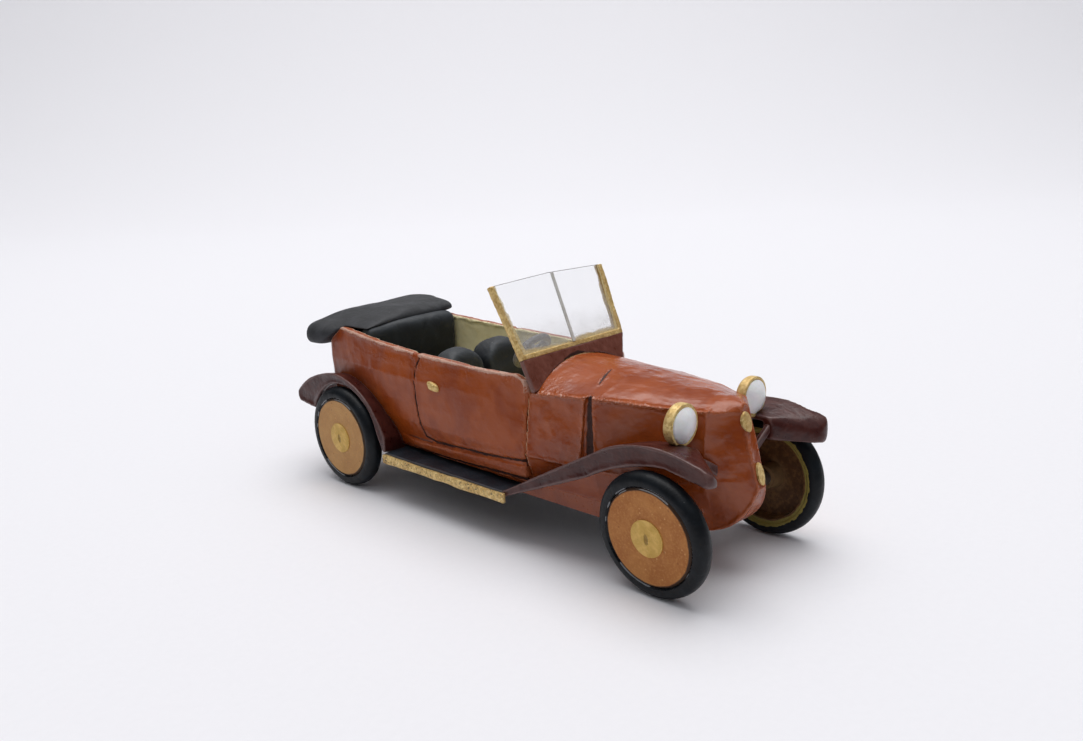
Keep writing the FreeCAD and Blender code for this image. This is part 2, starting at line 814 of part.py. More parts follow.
def make_wings():
    board = block(-board_outer, -wing_inner, board_y0, board_y1, board_top - board_thickness, board_top)
    strip_top = board_top - strip_drop
    strip_outer = board_outer + strip_width
    pieces = {
        "rear_wing": rear_wing_solid(),
        "running_board": board.cut(chassis_space()).cut(tub_full),
        "running_board_strip": block(-strip_outer, -board_outer, board_y0 - strip_lead, board_y1,
                                     strip_top - strip_height, strip_top),
    }
    for side_name, side in SIDES:
        wing = front_wings[side_name]
        stay = max(stay_solid().cut(wing).Solids, key=lambda solid: solid.Volume)
        handed = dict(pieces, front_wing=wing, front_wing_stay=stay)
        for name, piece in handed.items():
            export(name + "_" + side_name, piece if side < 0 else mirrored(piece))


# ------------------------------------------------------------------ windscreen
screen_foot_y = scuttle_y - screen_setback
rake = math.radians(screen_rake)


def screen_point(x, height):
    return Vector(x, screen_foot_y + (height - screen_foot_height) * math.tan(rake), height)


def screen_sheet(points, thickness, lift=0.0):
    """A flat plate on the raked plane; its corners are (sideways, height)."""
    normal = Vector(0, -math.cos(rake), math.sin(rake))
    plate = prism(closed([screen_point(x, z) for x, z in points]), normal * thickness)
    plate.translate(normal * (lift - thickness / 2))
    return plate


def screen_half(height):
    """Half width of the screen at a height between the glass's foot and its top."""
    share = (height - screen_glass_bottom) / (screen_top_height - screen_glass_bottom)
    return screen_bottom_half_width + (screen_top_half_width - screen_bottom_half_width) * share


def dashboard_solid():
    """A ledge behind the windscreen that carries the scuttle's crown on into the cabin."""
    _, waist, shoulder, crease, crown = FRONT_SECTIONS[0]
    outline = front_outline(lambda x, z: Vector(x, scuttle_y, z), waist, shoulder, crease, crown)
    ledge = prism(outline, Vector(0, dash_depth, 0))
    under = block(-FAR, FAR, -FAR, FAR, 0, dash_bottom)
    return ledge.cut(under).common(tub_room(0, scuttle_y - 1)).cut(tub)


dashboard = dashboard_solid()


def make_windscreen():
    band_top = screen_glass_bottom + screen_band_height
    top = screen_top_height
    peak = top + screen_peak
    e = screen_edge_width
    t = screen_half(top)
    b = screen_half(band_top)
    g = screen_half(screen_glass_bottom)
    pane = screen_sheet([(-t + e, top), (0, peak), (t - e, top), (b - e, band_top), (-b + e, band_top)],
                        screen_thickness)
    frame_outline = [(-t, top), (-t + e, top), (-b + e, band_top), (b - e, band_top),
                     (t - e, top), (t, top), (g, screen_glass_bottom), (-g, screen_glass_bottom)]
    frame = screen_sheet(frame_outline, screen_thickness + 2 * screen_rim)
    apron = screen_sheet([(-g, screen_glass_bottom), (g, screen_glass_bottom),
                          (screen_foot_left, screen_foot_height), (-screen_foot_right, screen_foot_height)],
                         screen_thickness + 2 * screen_rim)
    apron = apron.cut(front_full).cut(tub_closed).cut(dashboard)
    half_bar = screen_bar_width / 2
    x0 = screen_bar_foot_offset
    x1 = screen_bar_top_offset
    bar_top = top + 0.08
    bar = screen_sheet([(x0 - half_bar, band_top), (x0 + half_bar, band_top),
                        (x1 + half_bar, bar_top), (x1 - half_bar, bar_top)],
                       bar_thickness, (screen_thickness + bar_thickness) / 2)
    export("windscreen_pane", pane)
    export("windscreen_frame", frame)
    export("windscreen_apron", apron)
    export("windscreen_bar", bar)


# ------------------------------------------------------------------ cabin
def cushion(width, y0, y1, z0, z1, rounding):
    """A padded block with rounded upper edges."""
    pad = block(-width / 2, width / 2, y0, y1, z0, z1)
    edges = [edge for edge in pad.Edges if edge.BoundBox.ZMin > z1 - 0.01]
    return pad.makeFillet(rounding, edges)


def seat_solid(width, front_y, back_y, squab_top, top, back_thickness, crown):
    """A squab and a back; the back's top is rounded from the side and crowned from the front."""
    squab = cushion(width, front_y, back_y - back_thickness / 2, floor_top, squab_top, 0.4)
    half = width / 2
    outline = Part.Wire([
        line(Vector(-half, back_y, floor_top), Vector(half, back_y, floor_top)),
        line(Vector(half, back_y, floor_top), Vector(half, back_y, top - crown)),
        arc(Vector(half, back_y, top - crown), Vector(0, back_y, top), Vector(-half, back_y, top - crown)),
        line(Vector(-half, back_y, top - crown), Vector(-half, back_y, floor_top)),
    ])
    crowned = prism(outline, Vector(0, -back_thickness, 0))
    front_face = back_y - back_thickness
    round_start = top - back_thickness / 2
    side_view = Part.Wire([
        line(side_point(front_face, floor_top), side_point(front_face, round_start)),
        arc(side_point(front_face, round_start), side_point(back_y - back_thickness / 2, top),
            side_point(back_y, round_start)),
        line(side_point(back_y, round_start), side_point(back_y, floor_top)),
        line(side_point(back_y, floor_top), side_point(front_face, floor_top)),
    ])
    return squab.fuse(crowned.common(across(side_view, width)))


def hood_solid():
    """The folded hood, a soft roll lying across the back of the tub."""
    front = hood_front_y
    back = tail_y
    low = hood_bottom
    top = hood_top
    r = hood_rounding
    turn = r * (1 - math.sqrt(0.5))
    under = side_point(front, top - hood_front_drop)
    lip = side_point(front, top - 0.75)
    crest = side_point(front + 1.6, top)
    slope = side_point(back - 2.2, top - 0.3)
    tip = side_point(back, low + 0.95)
    heel = side_point(back - 1.1, low)
    lap_low = side_point(tub_back_y + 0.3, low)
    lap = side_point(rear_axle_y + rail_end - 0.4, top - hood_front_drop - 0.2)
    side_view = Part.Wire([
        line(under, lip),
        arc(lip, side_point(front + 0.45, top - 0.26), crest),
        line(crest, slope),
        arc(slope, side_point(back - 0.62, top - 1.05), tip),
        arc(tip, side_point(back - 0.25, low + 0.3), heel),
        line(heel, lap_low),
        line(lap_low, lap),
        line(lap, under),
    ])
    a = hood_inner_half_width
    b = hood_back_half_width
    flare = rear_axle_y + rail_end - 0.5
    spread = 0.9
    right = [
        line(Vector(-a, front - 1, 0), Vector(-a, flare, 0)),
        line(Vector(-a, flare, 0), Vector(-b, flare + spread, 0)),
        line(Vector(-b, flare + spread, 0), Vector(-b, back - r, 0)),
        arc(Vector(-b, back - r, 0), Vector(-b + turn, back - turn, 0), Vector(-b + r, back, 0)),
    ]
    left = [mirrored(edge) for edge in reversed(right)]
    plan = Part.Wire(right + [line(Vector(-b + r, back, 0), Vector(b - r, back, 0))] + left
                     + [line(Vector(a, front - 1, 0), Vector(-a, front - 1, 0))])
    right_top = top - hood_right_drop
    left_top = top - hood_left_drop
    right_turn = Vector(-b + turn, 0, right_top - turn)
    end_view = Part.Wire([
        line(Vector(-b, 0, low - 1), Vector(-b, 0, right_top - r)),
        arc(Vector(-b, 0, right_top - r), right_turn, Vector(-b + r, 0, right_top)),
        arc(Vector(-b + r, 0, right_top), Vector(0.8, 0, top), Vector(b - r, 0, left_top)),
        arc(Vector(b - r, 0, left_top), Vector(b - turn, 0, left_top - turn), Vector(b, 0, left_top - r)),
        line(Vector(b, 0, left_top - r), Vector(b, 0, low - 1)),
        line(Vector(b, 0, low - 1), Vector(-b, 0, low - 1)),
    ])
    hood = across(side_view, FAR / 4).common(prism(plan, Vector(0, 0, FAR / 2)))
    return hood.common(prism(end_view, Vector(0, FAR, 0))).cut(tub_closed)


def make_seats():
    seat_back_y = scuttle_y + front_seat_setback
    spread = (seat_width + seat_gap) / 2
    seat = seat_solid(seat_width, seat_back_y - seat_depth - seat_back_thickness, seat_back_y,
                      floor_top + seat_height, seat_top, seat_back_thickness, 1.3)
    for side_name, side in SIDES:
        one = seat.copy()
        one.translate(Vector(side * spread, 0, 0))
        export("front_seat_" + side_name, one)
    bench_front = rear_axle_y - rear_seat_front
    bench_back = bench_front + rear_seat_depth + rear_seat_back_thickness
    bench = seat_solid(FAR / 4, bench_front, bench_back, floor_top + rear_seat_height,
                       hood_top - hood_front_drop, rear_seat_back_thickness, 0.05)
    export("rear_seat", bench.common(tub_room(0.04)).cut(hood_solid()))


def make_hood():
    export("folded_hood", hood_solid())


def make_steering():
    angle = math.radians(steering_angle)
    axis = Vector(0, -math.cos(angle), -math.sin(angle))
    centre = Vector(-(seat_width + seat_gap) / 2, scuttle_y + steering_setback, steering_height)
    rim = Part.makeTorus(steering_radius - steering_rim, steering_rim, centre, axis)
    hub = rod(centre - axis * 0.2, centre + axis * 0.25, 0.42)
    wheel = rim.fuse(hub)
    for quarter in range(4):
        turn = math.radians(90 * quarter + 45)
        spoke = Vector(math.cos(turn), 0, 0) + ACROSS.cross(axis) * math.sin(turn)
        wheel = wheel.fuse(rod(centre, centre + spoke * (steering_radius - steering_rim), 0.13))
    start = centre + axis * 0.25
    column = rod(start, start + axis * 6.0, 0.18)
    column = column.cut(block(-FAR, FAR, -FAR, scuttle_y + dash_depth, 0, FAR))
    export("steering_wheel", wheel)
    export("steering_column", column)


# ------------------------------------------------------------------ lamps and nose studs
def make_lamps():
    lens_y = front_axle_y - lamp_front
    for side_name, side in SIDES:
        centre = Vector(side * lamp_spread, lens_y, lamp_height)
        drum = rod(centre, centre + ALONG * lamp_depth, lamp_radius)
        rear_edge = [edge for edge in drum.Edges if edge.BoundBox.YMin > lens_y + lamp_depth - 0.01]
        drum = drum.makeFillet(lamp_back_rounding, rear_edge)
        seat = rod(centre, centre + ALONG * lens_seat, lamp_lens_radius)
        arm_root = centre + ALONG * lamp_depth * 0.6
        arm = rod(arm_root, arm_root - ACROSS * side * lamp_arm_length, lamp_arm_radius)
        wing = front_wings[side_name] if side < 0 else mirrored(front_wings[side_name])
        shell = drum.fuse(arm).cut(seat).cut(front_full).cut(wing)
        shell = max(shell.Solids, key=lambda solid: solid.Volume)
        export("headlamp_" + side_name, shell)
        ball = (lamp_lens_radius ** 2 + lens_bulge ** 2) / (2 * lens_bulge)
        dome = Part.makeSphere(ball, centre + ALONG * (ball - lens_bulge))
        glass = rod(centre + ALONG * lens_seat, centre - ALONG * lens_bulge, lamp_lens_radius).common(dome)
        export("headlamp_lens_" + side_name, glass.cut(wing))


# Studs on the ridge of the nose: name, sideways place, height of the middle, width, height.
STUDS = (("nose_badge", -0.22, 9.75, 0.75, 1.2), ("crank_socket", 0, 6.6, 0.6, 1.35))
stud_rise = 0.14


def make_studs():
    proud = front_casting(-stud_rise).cut(front_full)
    for name, sideways, middle, width, height in STUDS:
        y = ridge_y(middle)
        window = rod(Vector(0, y - 1, 0), Vector(0, y + 0.8, 0), width / 2)
        stretch = FreeCAD.Matrix()
        stretch.scale(1, 1, height / width)
        window = window.transformGeometry(stretch)
        window.translate(Vector(sideways, 0, middle))
        export(name, proud.common(window))


os.makedirs("parts", exist_ok=True)
make_chassis()
make_wheels()
make_front()
export("body_tub", tub)
make_door_handles()
make_wings()
make_windscreen()
export("dashboard", dashboard)
make_seats()
make_steering()
make_hood()
make_lamps()
make_studs()
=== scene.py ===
"""Looks of a hand-painted miniature of a 1920s open touring car.

-Y is the front of the car, -X its right-hand side and +Z is up. Shapes are worked in
millimetres and brought to metres when they are finished.
"""

import json
import math

import bmesh
import bpy
import numpy as np
from mathutils import Matrix, Vector, noise


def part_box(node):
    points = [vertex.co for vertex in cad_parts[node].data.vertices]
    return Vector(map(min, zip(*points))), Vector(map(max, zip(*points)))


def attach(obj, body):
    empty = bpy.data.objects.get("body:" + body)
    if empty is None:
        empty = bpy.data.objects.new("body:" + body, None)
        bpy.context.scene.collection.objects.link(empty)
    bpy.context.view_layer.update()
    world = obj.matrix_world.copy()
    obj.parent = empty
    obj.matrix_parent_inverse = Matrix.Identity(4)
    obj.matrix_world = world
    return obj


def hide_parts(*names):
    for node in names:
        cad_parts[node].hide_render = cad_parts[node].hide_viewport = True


MM = 0.001
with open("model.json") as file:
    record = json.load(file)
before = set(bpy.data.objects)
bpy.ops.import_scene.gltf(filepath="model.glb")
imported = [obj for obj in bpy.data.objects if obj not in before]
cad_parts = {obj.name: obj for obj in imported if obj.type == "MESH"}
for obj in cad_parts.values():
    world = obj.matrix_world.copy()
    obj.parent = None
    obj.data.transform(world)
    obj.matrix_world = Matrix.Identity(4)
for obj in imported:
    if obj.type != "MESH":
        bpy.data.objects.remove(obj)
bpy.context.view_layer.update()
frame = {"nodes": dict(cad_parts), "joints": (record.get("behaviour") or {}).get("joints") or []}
cad_nodes = frame["nodes"]
scene = bpy.context.scene
scene.view_settings.view_transform = "Standard"

# Half widths of the clear sheet at its foot and at its top, in millimetres.
SCREEN_HALF_WIDTHS = (4.76, 5.18)


# ------------------------------------------------------------------ finishes
def tint(red, green, blue):
    return (red, green, blue, 1.0)


class Value:
    """A number, colour or place on its way through the nodes of a finish."""

    def __init__(self, finish, socket):
        self.finish = finish
        self.socket = socket

    def maths(self, operation, first, second):
        return self.finish.node("ShaderNodeMath", {"operation": operation}, [first, second])

    def __add__(self, other):
        return self.maths("ADD", self, other)

    __radd__ = __add__

    def __mul__(self, other):
        return self.maths("MULTIPLY", self, other)

    __rmul__ = __mul__

    def __sub__(self, other):
        return self.maths("SUBTRACT", self, other)

    def __rsub__(self, other):
        return self.maths("SUBTRACT", other, self)

    def __truediv__(self, other):
        return self.maths("DIVIDE", self, other)

    def __pow__(self, other):
        return self.maths("POWER", self, other)

    def step(self, low, high):
        """0 below low and 1 above high, with a smooth rise; falls if high is under low."""
        if high < low:
            return 1 - self.step(high, low)
        smooth = {"interpolation_type": "SMOOTHSTEP"}
        return self.finish.node("ShaderNodeMapRange", smooth, [self, low, high])

    def part(self, axis):
        return self.finish.node("ShaderNodeSeparateXYZ", {}, [self], axis)


class Finish:
    """One painted or bare surface, built node by node."""

    def __init__(self, name):
        self.material = bpy.data.materials.new(name)
        self.material.use_nodes = True
        self.tree = self.material.node_tree
        self.tree.nodes.clear()

    def node(self, kind, settings, values, output=0):
        made = self.tree.nodes.new(kind)
        for name, value in settings.items():
            if name == "stops":
                while len(made.color_ramp.elements) < len(value):
                    made.color_ramp.elements.new(1.0)
                for element, (place, colour) in zip(made.color_ramp.elements, value):
                    element.position = place
                    element.color = colour
            else:
                setattr(made, name, value)
        pairs = values.items() if isinstance(values, dict) else enumerate(values)
        for key, value in pairs:
            if isinstance(value, Value):
                self.tree.links.new(value.socket, made.inputs[key])
            elif value is not None:
                made.inputs[key].default_value = value
        return Value(self, made.outputs[output])

    def place(self, stretch=(1, 1, 1), centre=(0, 0, 0), turn=(0, 0, 0)):
        """Millimetres from a centre, turned, then stretched along each axis."""
        spot = self.node("ShaderNodeTexCoord", {}, [], 3)
        scale = [MM / s for s in stretch]
        return self.node("ShaderNodeMapping", {"vector_type": "TEXTURE"},
                         {"Vector": spot, "Location": centre, "Rotation": turn, "Scale": scale})

    def clouds(self, spot, per_mm, detail=2.0, roughness=0.5, warp=0.0):
        return self.node("ShaderNodeTexNoise", {},
                         {"Vector": spot, "Scale": per_mm, "Detail": detail, "Roughness": roughness,
                          "Distortion": warp})

    def cells(self, spot, per_mm, output=0):
        """Distance to the nearest of many scattered points (0), or a colour per point (1)."""
        return self.node("ShaderNodeTexVoronoi", {}, {"Vector": spot, "Scale": per_mm}, output)

    def mark(self, name):
        return self.node("ShaderNodeAttribute", {"attribute_name": name}, [], 2)

    def mix(self, share, first, second, way="MIX"):
        settings = {"data_type": "RGBA", "blend_type": way}
        return self.node("ShaderNodeMix", settings, {0: share, 6: first, 7: second}, 2)

    def relief(self, height, depth_mm, under=None):
        values = {"Strength": 1.0, "Distance": depth_mm * MM, "Height": height}
        if under is not None:
            values["Normal"] = under
        return self.node("ShaderNodeBump", {}, values)

    def surface(self, colour, roughness, relief, **more):
        """The shader itself; what is in more goes to its sockets by name."""
        values = {"Base Color": colour, "Roughness": roughness, "Normal": relief}
        for name, value in more.items():
            values[name.replace("_", " ").title().replace("Ior", "IOR")] = value
        shader = self.node("ShaderNodeBsdfPrincipled", {}, values)
        self.show(shader)
        return self.material

    def show(self, shader):
        out = self.tree.nodes.new("ShaderNodeOutputMaterial")
        self.tree.links.new(shader.socket, out.inputs["Surface"])


def dust(finish, spot, per_mm, size):
    """Scattered specks, 1 on a speck."""
    return finish.cells(spot, per_mm).step(size, size * 0.5)


RUST_DEEP = tint(0.262, 0.043, 0.004)
RUST_LIGHT = tint(0.350, 0.068, 0.008)
RUST_CRACK = tint(0.038, 0.009, 0.005)
CREAM_CLEAN = tint(1.0, 0.91, 0.57)
CREAM_STAINED = tint(0.90, 0.79, 0.43)


def rust_paint(name, matt, shine):
    """Glossy rust-brown enamel, brushed on; cream on the marked inside of the tub."""
    f = Finish(name)
    spot = f.place()
    brush = f.clouds(f.place((1, 0.35, 1.6)), 1.1, 3, 0.6, 0.5)
    patches = f.clouds(spot, 0.35, 3, 0.55, 0.6)
    peel = f.clouds(spot, 2.6, 2, 0.5)
    grain = f.clouds(spot, 9.0, 2, 0.6)
    edge, hollow, crest = f.mark("edge"), f.mark("hollow"), f.mark("crest")
    crack = (f.mark("line") + (f.clouds(spot, 1.7, 3, 0.6) - 0.5) * 0.40).step(0.66, 0.76)
    rust = f.mix(patches.step(0.35, 0.65), RUST_DEEP, RUST_LIGHT)
    rust = f.mix(brush.step(0.5, 0.8) * 0.25, rust, tint(0.43, 0.100, 0.018))
    worn = (edge * 1.3 + crest * 0.25 + peel * 0.5 + grain * 0.5).step(0.95, 1.5)
    rust = f.mix(worn * 0.40, rust, tint(0.50, 0.150, 0.062))
    # Pale flecks along the crests: painted sparkle highlights.
    crest_sparkle_highlight = (f.clouds(spot, 4.5, 2, 0.6) + crest * 0.14).step(0.69, 0.75) * crest
    rust = f.mix(crest_sparkle_highlight * 0.65, rust, tint(0.80, 0.50, 0.40))
    # A paler line along the tub's rim: partly worn paint, partly a painted highlight.
    bright = (edge + grain * 0.9 + brush * 0.3).step(1.30, 1.50) * f.mark("rim")
    rust = f.mix(bright * 0.6, rust, tint(0.72, 0.52, 0.42))
    # Darker in hollows and corners: painted shade.
    hollow_shade = (hollow * 1.2 + grain * 0.5).step(0.7, 1.2)
    rust = f.mix(hollow_shade * 0.8, rust, tint(0.060, 0.012, 0.005))
    rust = f.mix(crack * (0.72 + grain * 0.5), rust, RUST_CRACK)
    specks = dust(f, f.place((1, 0.6, 1)), 0.9, 0.045)
    rust = f.mix(specks * 0.7, rust, tint(0.06, 0.018, 0.010))
    smudge = f.clouds(spot, 0.55, 4, 0.6, 0.5)
    cream = f.mix(smudge.step(0.42, 0.72), CREAM_CLEAN, CREAM_STAINED)
    # Darker cream in hollows and corners: painted shade.
    cream = f.mix((hollow + grain * 0.4).step(0.6, 1.1) * 0.6, cream, tint(0.16, 0.115, 0.045))
    ragged = (f.mark("inside") + (f.clouds(spot, 1.1, 3) - 0.5) * 0.5).step(0.40, 0.58)
    colour = f.mix(ragged, rust, cream)
    roughness = matt + patches * 0.06 + grain * 0.06 + ragged * 0.36 + edge * 0.05 + crack * 0.45
    bumps = f.relief(brush, 0.010)
    bumps = f.relief(f.clouds(spot, 0.8, 2, 0.5), 0.060, bumps)
    bumps = f.relief(peel, 0.009, bumps)
    bumps = f.relief(f.clouds(spot, 3.6, 2, 0.6) * (0.06 + edge * 1.0 + crest * 1.3), 0.11, bumps)
    bumps = f.relief(grain * (0.10 + edge), 0.030, bumps)
    bumps = f.relief(f.clouds(spot, 3.2, 2, 0.6) * crack, 0.10, bumps)
    return f.surface(colour, roughness, bumps, specular_ior_level=shine)


def maroon_paint(name="maroon_paint", dark=tint(0.048, 0.010, 0.008), light=tint(0.076, 0.020, 0.015)):
    """Dark maroon-brown, satin, on the wings; lighter on the windscreen's apron."""
    f = Finish(name)
    spot = f.place()
    strokes = f.clouds(f.place((1.4, 0.5, 1)), 1.3, 3, 0.6, 0.5)
    grain = f.clouds(spot, 8.0, 2, 0.6)
    edge = f.mark("edge")
    hollow = f.mark("hollow")
    colour = f.mix(strokes.step(0.35, 0.7), dark, light)
    worn = (edge * 1.2 + strokes * 0.5 + grain * 0.5).step(0.95, 1.5)
    colour = f.mix(worn * 0.5, colour, tint(0.20, 0.125, 0.115))
    # Darker in hollows and corners: painted shade.
    colour = f.mix((hollow + grain * 0.3).step(0.5, 1.0) * 0.8, colour, tint(0.012, 0.005, 0.005))
    colour = f.mix(dust(f, spot, 1.1, 0.05) * 0.5, colour, tint(0.22, 0.17, 0.16))
    roughness = 0.15 + strokes * 0.24 + grain * 0.08
    bumps = f.relief(strokes, 0.045)
    bumps = f.relief(f.clouds(spot, 1.0, 2), 0.100, bumps)
    bumps = f.relief(grain, 0.008, bumps)
    return f.surface(colour, roughness, bumps, specular_ior_level=0.36)


def board_paint():
    """Blue-black satin with light scratches along the running boards."""
    f = Finish("board_paint")
    spot = f.place()
    scratch = f.clouds(f.place((3.0, 0.15, 3.0)), 2.2, 2, 0.7).step(0.66, 0.74)
    grain = f.clouds(spot, 7.0, 3, 0.6)
    wear = f.clouds(spot, 0.7, 3, 0.6)
    colour = f.mix(wear.step(0.4, 0.7), tint(0.010, 0.014, 0.021), tint(0.022, 0.030, 0.041))
    colour = f.mix(scratch * wear.step(0.45, 0.6) * 0.55, colour, tint(0.20, 0.21, 0.22))
    colour = f.mix(f.mark("edge").step(0.4, 1.0) * 0.35, colour, tint(0.12, 0.11, 0.11))
    bumps = f.relief(grain + scratch * 0.4, 0.014)
    bumps = f.relief(wear, 0.05, bumps)
    return f.surface(colour, 0.34 + grain * 0.2, bumps)


def chassis_paint(half_width):
    """Rust on the two sides and dark, dusty metal underneath."""
    f = Finish("chassis_paint")
    spot = f.place()
    grain = f.clouds(spot, 6.0, 3, 0.6)
    wear = f.clouds(spot, 0.6, 3, 0.6)
    dark = f.mix(wear.step(0.4, 0.7), tint(0.020, 0.016, 0.014), tint(0.050, 0.036, 0.030))
    dark = f.mix(dust(f, spot, 1.2, 0.06) * 0.5, dark, tint(0.20, 0.19, 0.18))
    rust = f.mix(wear.step(0.35, 0.65), RUST_DEEP, RUST_LIGHT)
    out = f.node("ShaderNodeMath", {"operation": "ABSOLUTE"}, [spot.part(0)])
    side = (out + (grain - 0.5) * 0.02).step(half_width - 0.04, half_width - 0.02)
    colour = f.mix(side, dark, rust)
    bumps = f.relief(grain, 0.012)
    bumps = f.relief(wear, 0.06, bumps)
    return f.surface(colour, 0.45 + grain * 0.2 - side * 0.25, bumps)


def steering_paint():
    """Dark grey, a little chalky."""
    f = Finish("steering_paint")
    spot = f.place()
    grain = f.clouds(spot, 5.0, 3, 0.6)
    colour = f.mix(grain.step(0.4, 0.7), tint(0.110, 0.106, 0.108), tint(0.190, 0.182, 0.184))
    bumps = f.relief(grain, 0.02)
    return f.surface(colour, 0.5 + grain * 0.15, bumps)


def gold_paint(name, bare):
    """Metallic gold with coarse flakes; it thins to black specks where bare is high."""
    f = Finish(name)
    spot = f.place()
    flakes = f.cells(spot, 7.0, 1)
    tone = f.node("ShaderNodeSeparateColor", {}, [flakes])
    thick = f.clouds(spot, 1.2, 3, 0.6)
    grain = f.clouds(spot, 8.0, 2, 0.7)
    colour = f.mix(tone, tint(0.64, 0.42, 0.13), tint(0.98, 0.76, 0.35))
    colour = f.mix(thick.step(0.35, 0.7) * 0.5, colour, tint(0.50, 0.28, 0.09))
    missing = (grain * 0.75 + thick * 0.35).step(0.57 + 0.25 * (1 - bare), 0.66 + 0.25 * (1 - bare))
    colour = f.mix(missing * 0.85, colour, tint(0.045, 0.030, 0.018))
    bumps = f.relief(tone + grain, 0.035)
    bumps = f.relief(thick, 0.07, bumps)
    return f.surface(colour, 0.36 + tone * 0.2 + missing * 0.2, bumps, metallic=0.40 - missing * 0.35)


# Radii of a wheel's outer face, in millimetres: the painted shade ring round the disc, the painted glint
# that is set into it, and the painted glint at the tyre's bead.
GAP_SHADE_RADIUS = 2.90
DISC_GLINT_RADIUS = 3.035
TYRE_GLINT_RADIUS = 3.16


def wheel_place(f, joint, stretch=(1, 1, 1)):
    """Millimetres from a wheel's outer face, with +Z outwards along its axle."""
    lean = Vector((0, 0, 1)).rotation_difference(Vector(joint["axis"]))
    return f.place(stretch, joint["pos_m"], tuple(lean.to_euler()))


def out_from_axle(spot):
    x, y = spot.part(0), spot.part(1)
    return (x * x + y * y) ** 0.5


def disc_paint(joint):
    """Orange-tan over turned rings outside; brown with an olive rim inside."""
    f = Finish("disc_paint_" + joint["child"])
    spot = wheel_place(f, joint)
    radius = out_from_axle(spot)
    depth = spot.part(2)
    wobble = f.clouds(spot, 1.3, 2) - 0.5
    grain = f.clouds(spot, 6.0, 3, 0.65)
    rings = f.clouds(f.node("ShaderNodeCombineXYZ", {}, [radius * 9.0, wobble * 0.6, 0.0]), 1.0, 2, 0.6)
    patches = f.clouds(spot, 0.7, 3, 0.6, 0.4)
    tan = f.mix(patches.step(0.35, 0.7), tint(0.41, 0.140, 0.027), tint(0.52, 0.210, 0.050))
    if "rear" in joint["child"]:
        tan = f.mix(0.30 + patches * 0.2, tan, tint(0.62, 0.43, 0.17))
    tan = f.mix(rings.step(0.45, 0.75) * 0.25, tan, tint(0.38, 0.130, 0.028))
    tan = f.mix(grain.step(0.45, 0.75) * 0.45, tan, tint(0.68, 0.330, 0.095))
    tan = f.mix(dust(f, spot, 1.9, 0.16) * 0.6, tan, tint(0.72, 0.40, 0.14))
    tan = f.mix(dust(f, f.place((1, 1, 1), (3.1, 1.7, 0.4)), 1.3, 0.12) * 0.5, tan, tint(0.28, 0.085, 0.02))
    # A near-black ring in the gap between disc and tyre: painted shade.
    gap_shade = (radius + wobble * 0.12).step(GAP_SHADE_RADIUS, GAP_SHADE_RADIUS + 0.1)
    tan = f.mix(gap_shade * 0.92, tan, tint(0.022, 0.014, 0.010))
    broken = f.clouds(spot, 0.45, 2).step(0.60, 0.46) * 4.0
    # A broken grey ring on the disc's rim: painted glints.
    glint = ((radius - DISC_GLINT_RADIUS) * (radius - DISC_GLINT_RADIUS) * 900.0 + broken).step(1.0, 0.4)
    tan = f.mix(glint * 0.8, tan, tint(0.45, 0.45, 0.45))
    streaks = f.clouds(f.place((1, 1, 1), joint["pos_m"]), 2.5, 3, 0.7)
    brown = f.mix(streaks.step(0.4, 0.7), tint(0.100, 0.046, 0.018), tint(0.190, 0.098, 0.036))
    brown = f.mix((radius + wobble * 0.3).step(1.5, 0.5) * 0.6, brown, tint(0.30, 0.190, 0.090))
    olive = f.mix(grain, tint(0.20, 0.160, 0.035), tint(0.34, 0.285, 0.080))
    inner = f.mix((radius + wobble * 0.16).step(2.93, 2.99), brown, olive)
    colour = f.mix(depth.step(-0.25, -0.20), inner, tan)
    bumps = f.relief(rings, 0.012)
    bumps = f.relief(grain, 0.012, bumps)
    bumps = f.relief(patches, 0.05, bumps)
    return f.surface(colour, 0.40 + grain * 0.22, bumps, specular_ior_level=0.3)


def hub_paint(joint):
    """Yellow gold dabbed on the hub cap, with a scraped hollow beside its middle."""
    f = Finish("hub_paint_" + joint["child"])
    spot = wheel_place(f, joint)
    grain = f.clouds(spot, 4.5, 3, 0.65, 0.5)
    dabs = f.clouds(spot, 1.4, 3, 0.6, 0.8)
    colour = f.mix(dabs.step(0.35, 0.7), tint(0.60, 0.37, 0.080), tint(0.76, 0.50, 0.140))
    colour = f.mix(grain.step(0.5, 0.8) * 0.4, colour, tint(0.46, 0.28, 0.06))
    scrape = wheel_place(f, joint, (1.0, 2.4, 0.3))
    cut = (out_from_axle(scrape) + (grain - 0.5) * 0.4).step(0.42, 0.22)
    colour = f.mix(cut * 0.55, colour, tint(0.17, 0.09, 0.02))
    bumps = f.relief(grain, 0.03)
    bumps = f.relief(dabs - cut, 0.09, bumps)
    return f.surface(colour, 0.42 + grain * 0.2, bumps, metallic=0.35)


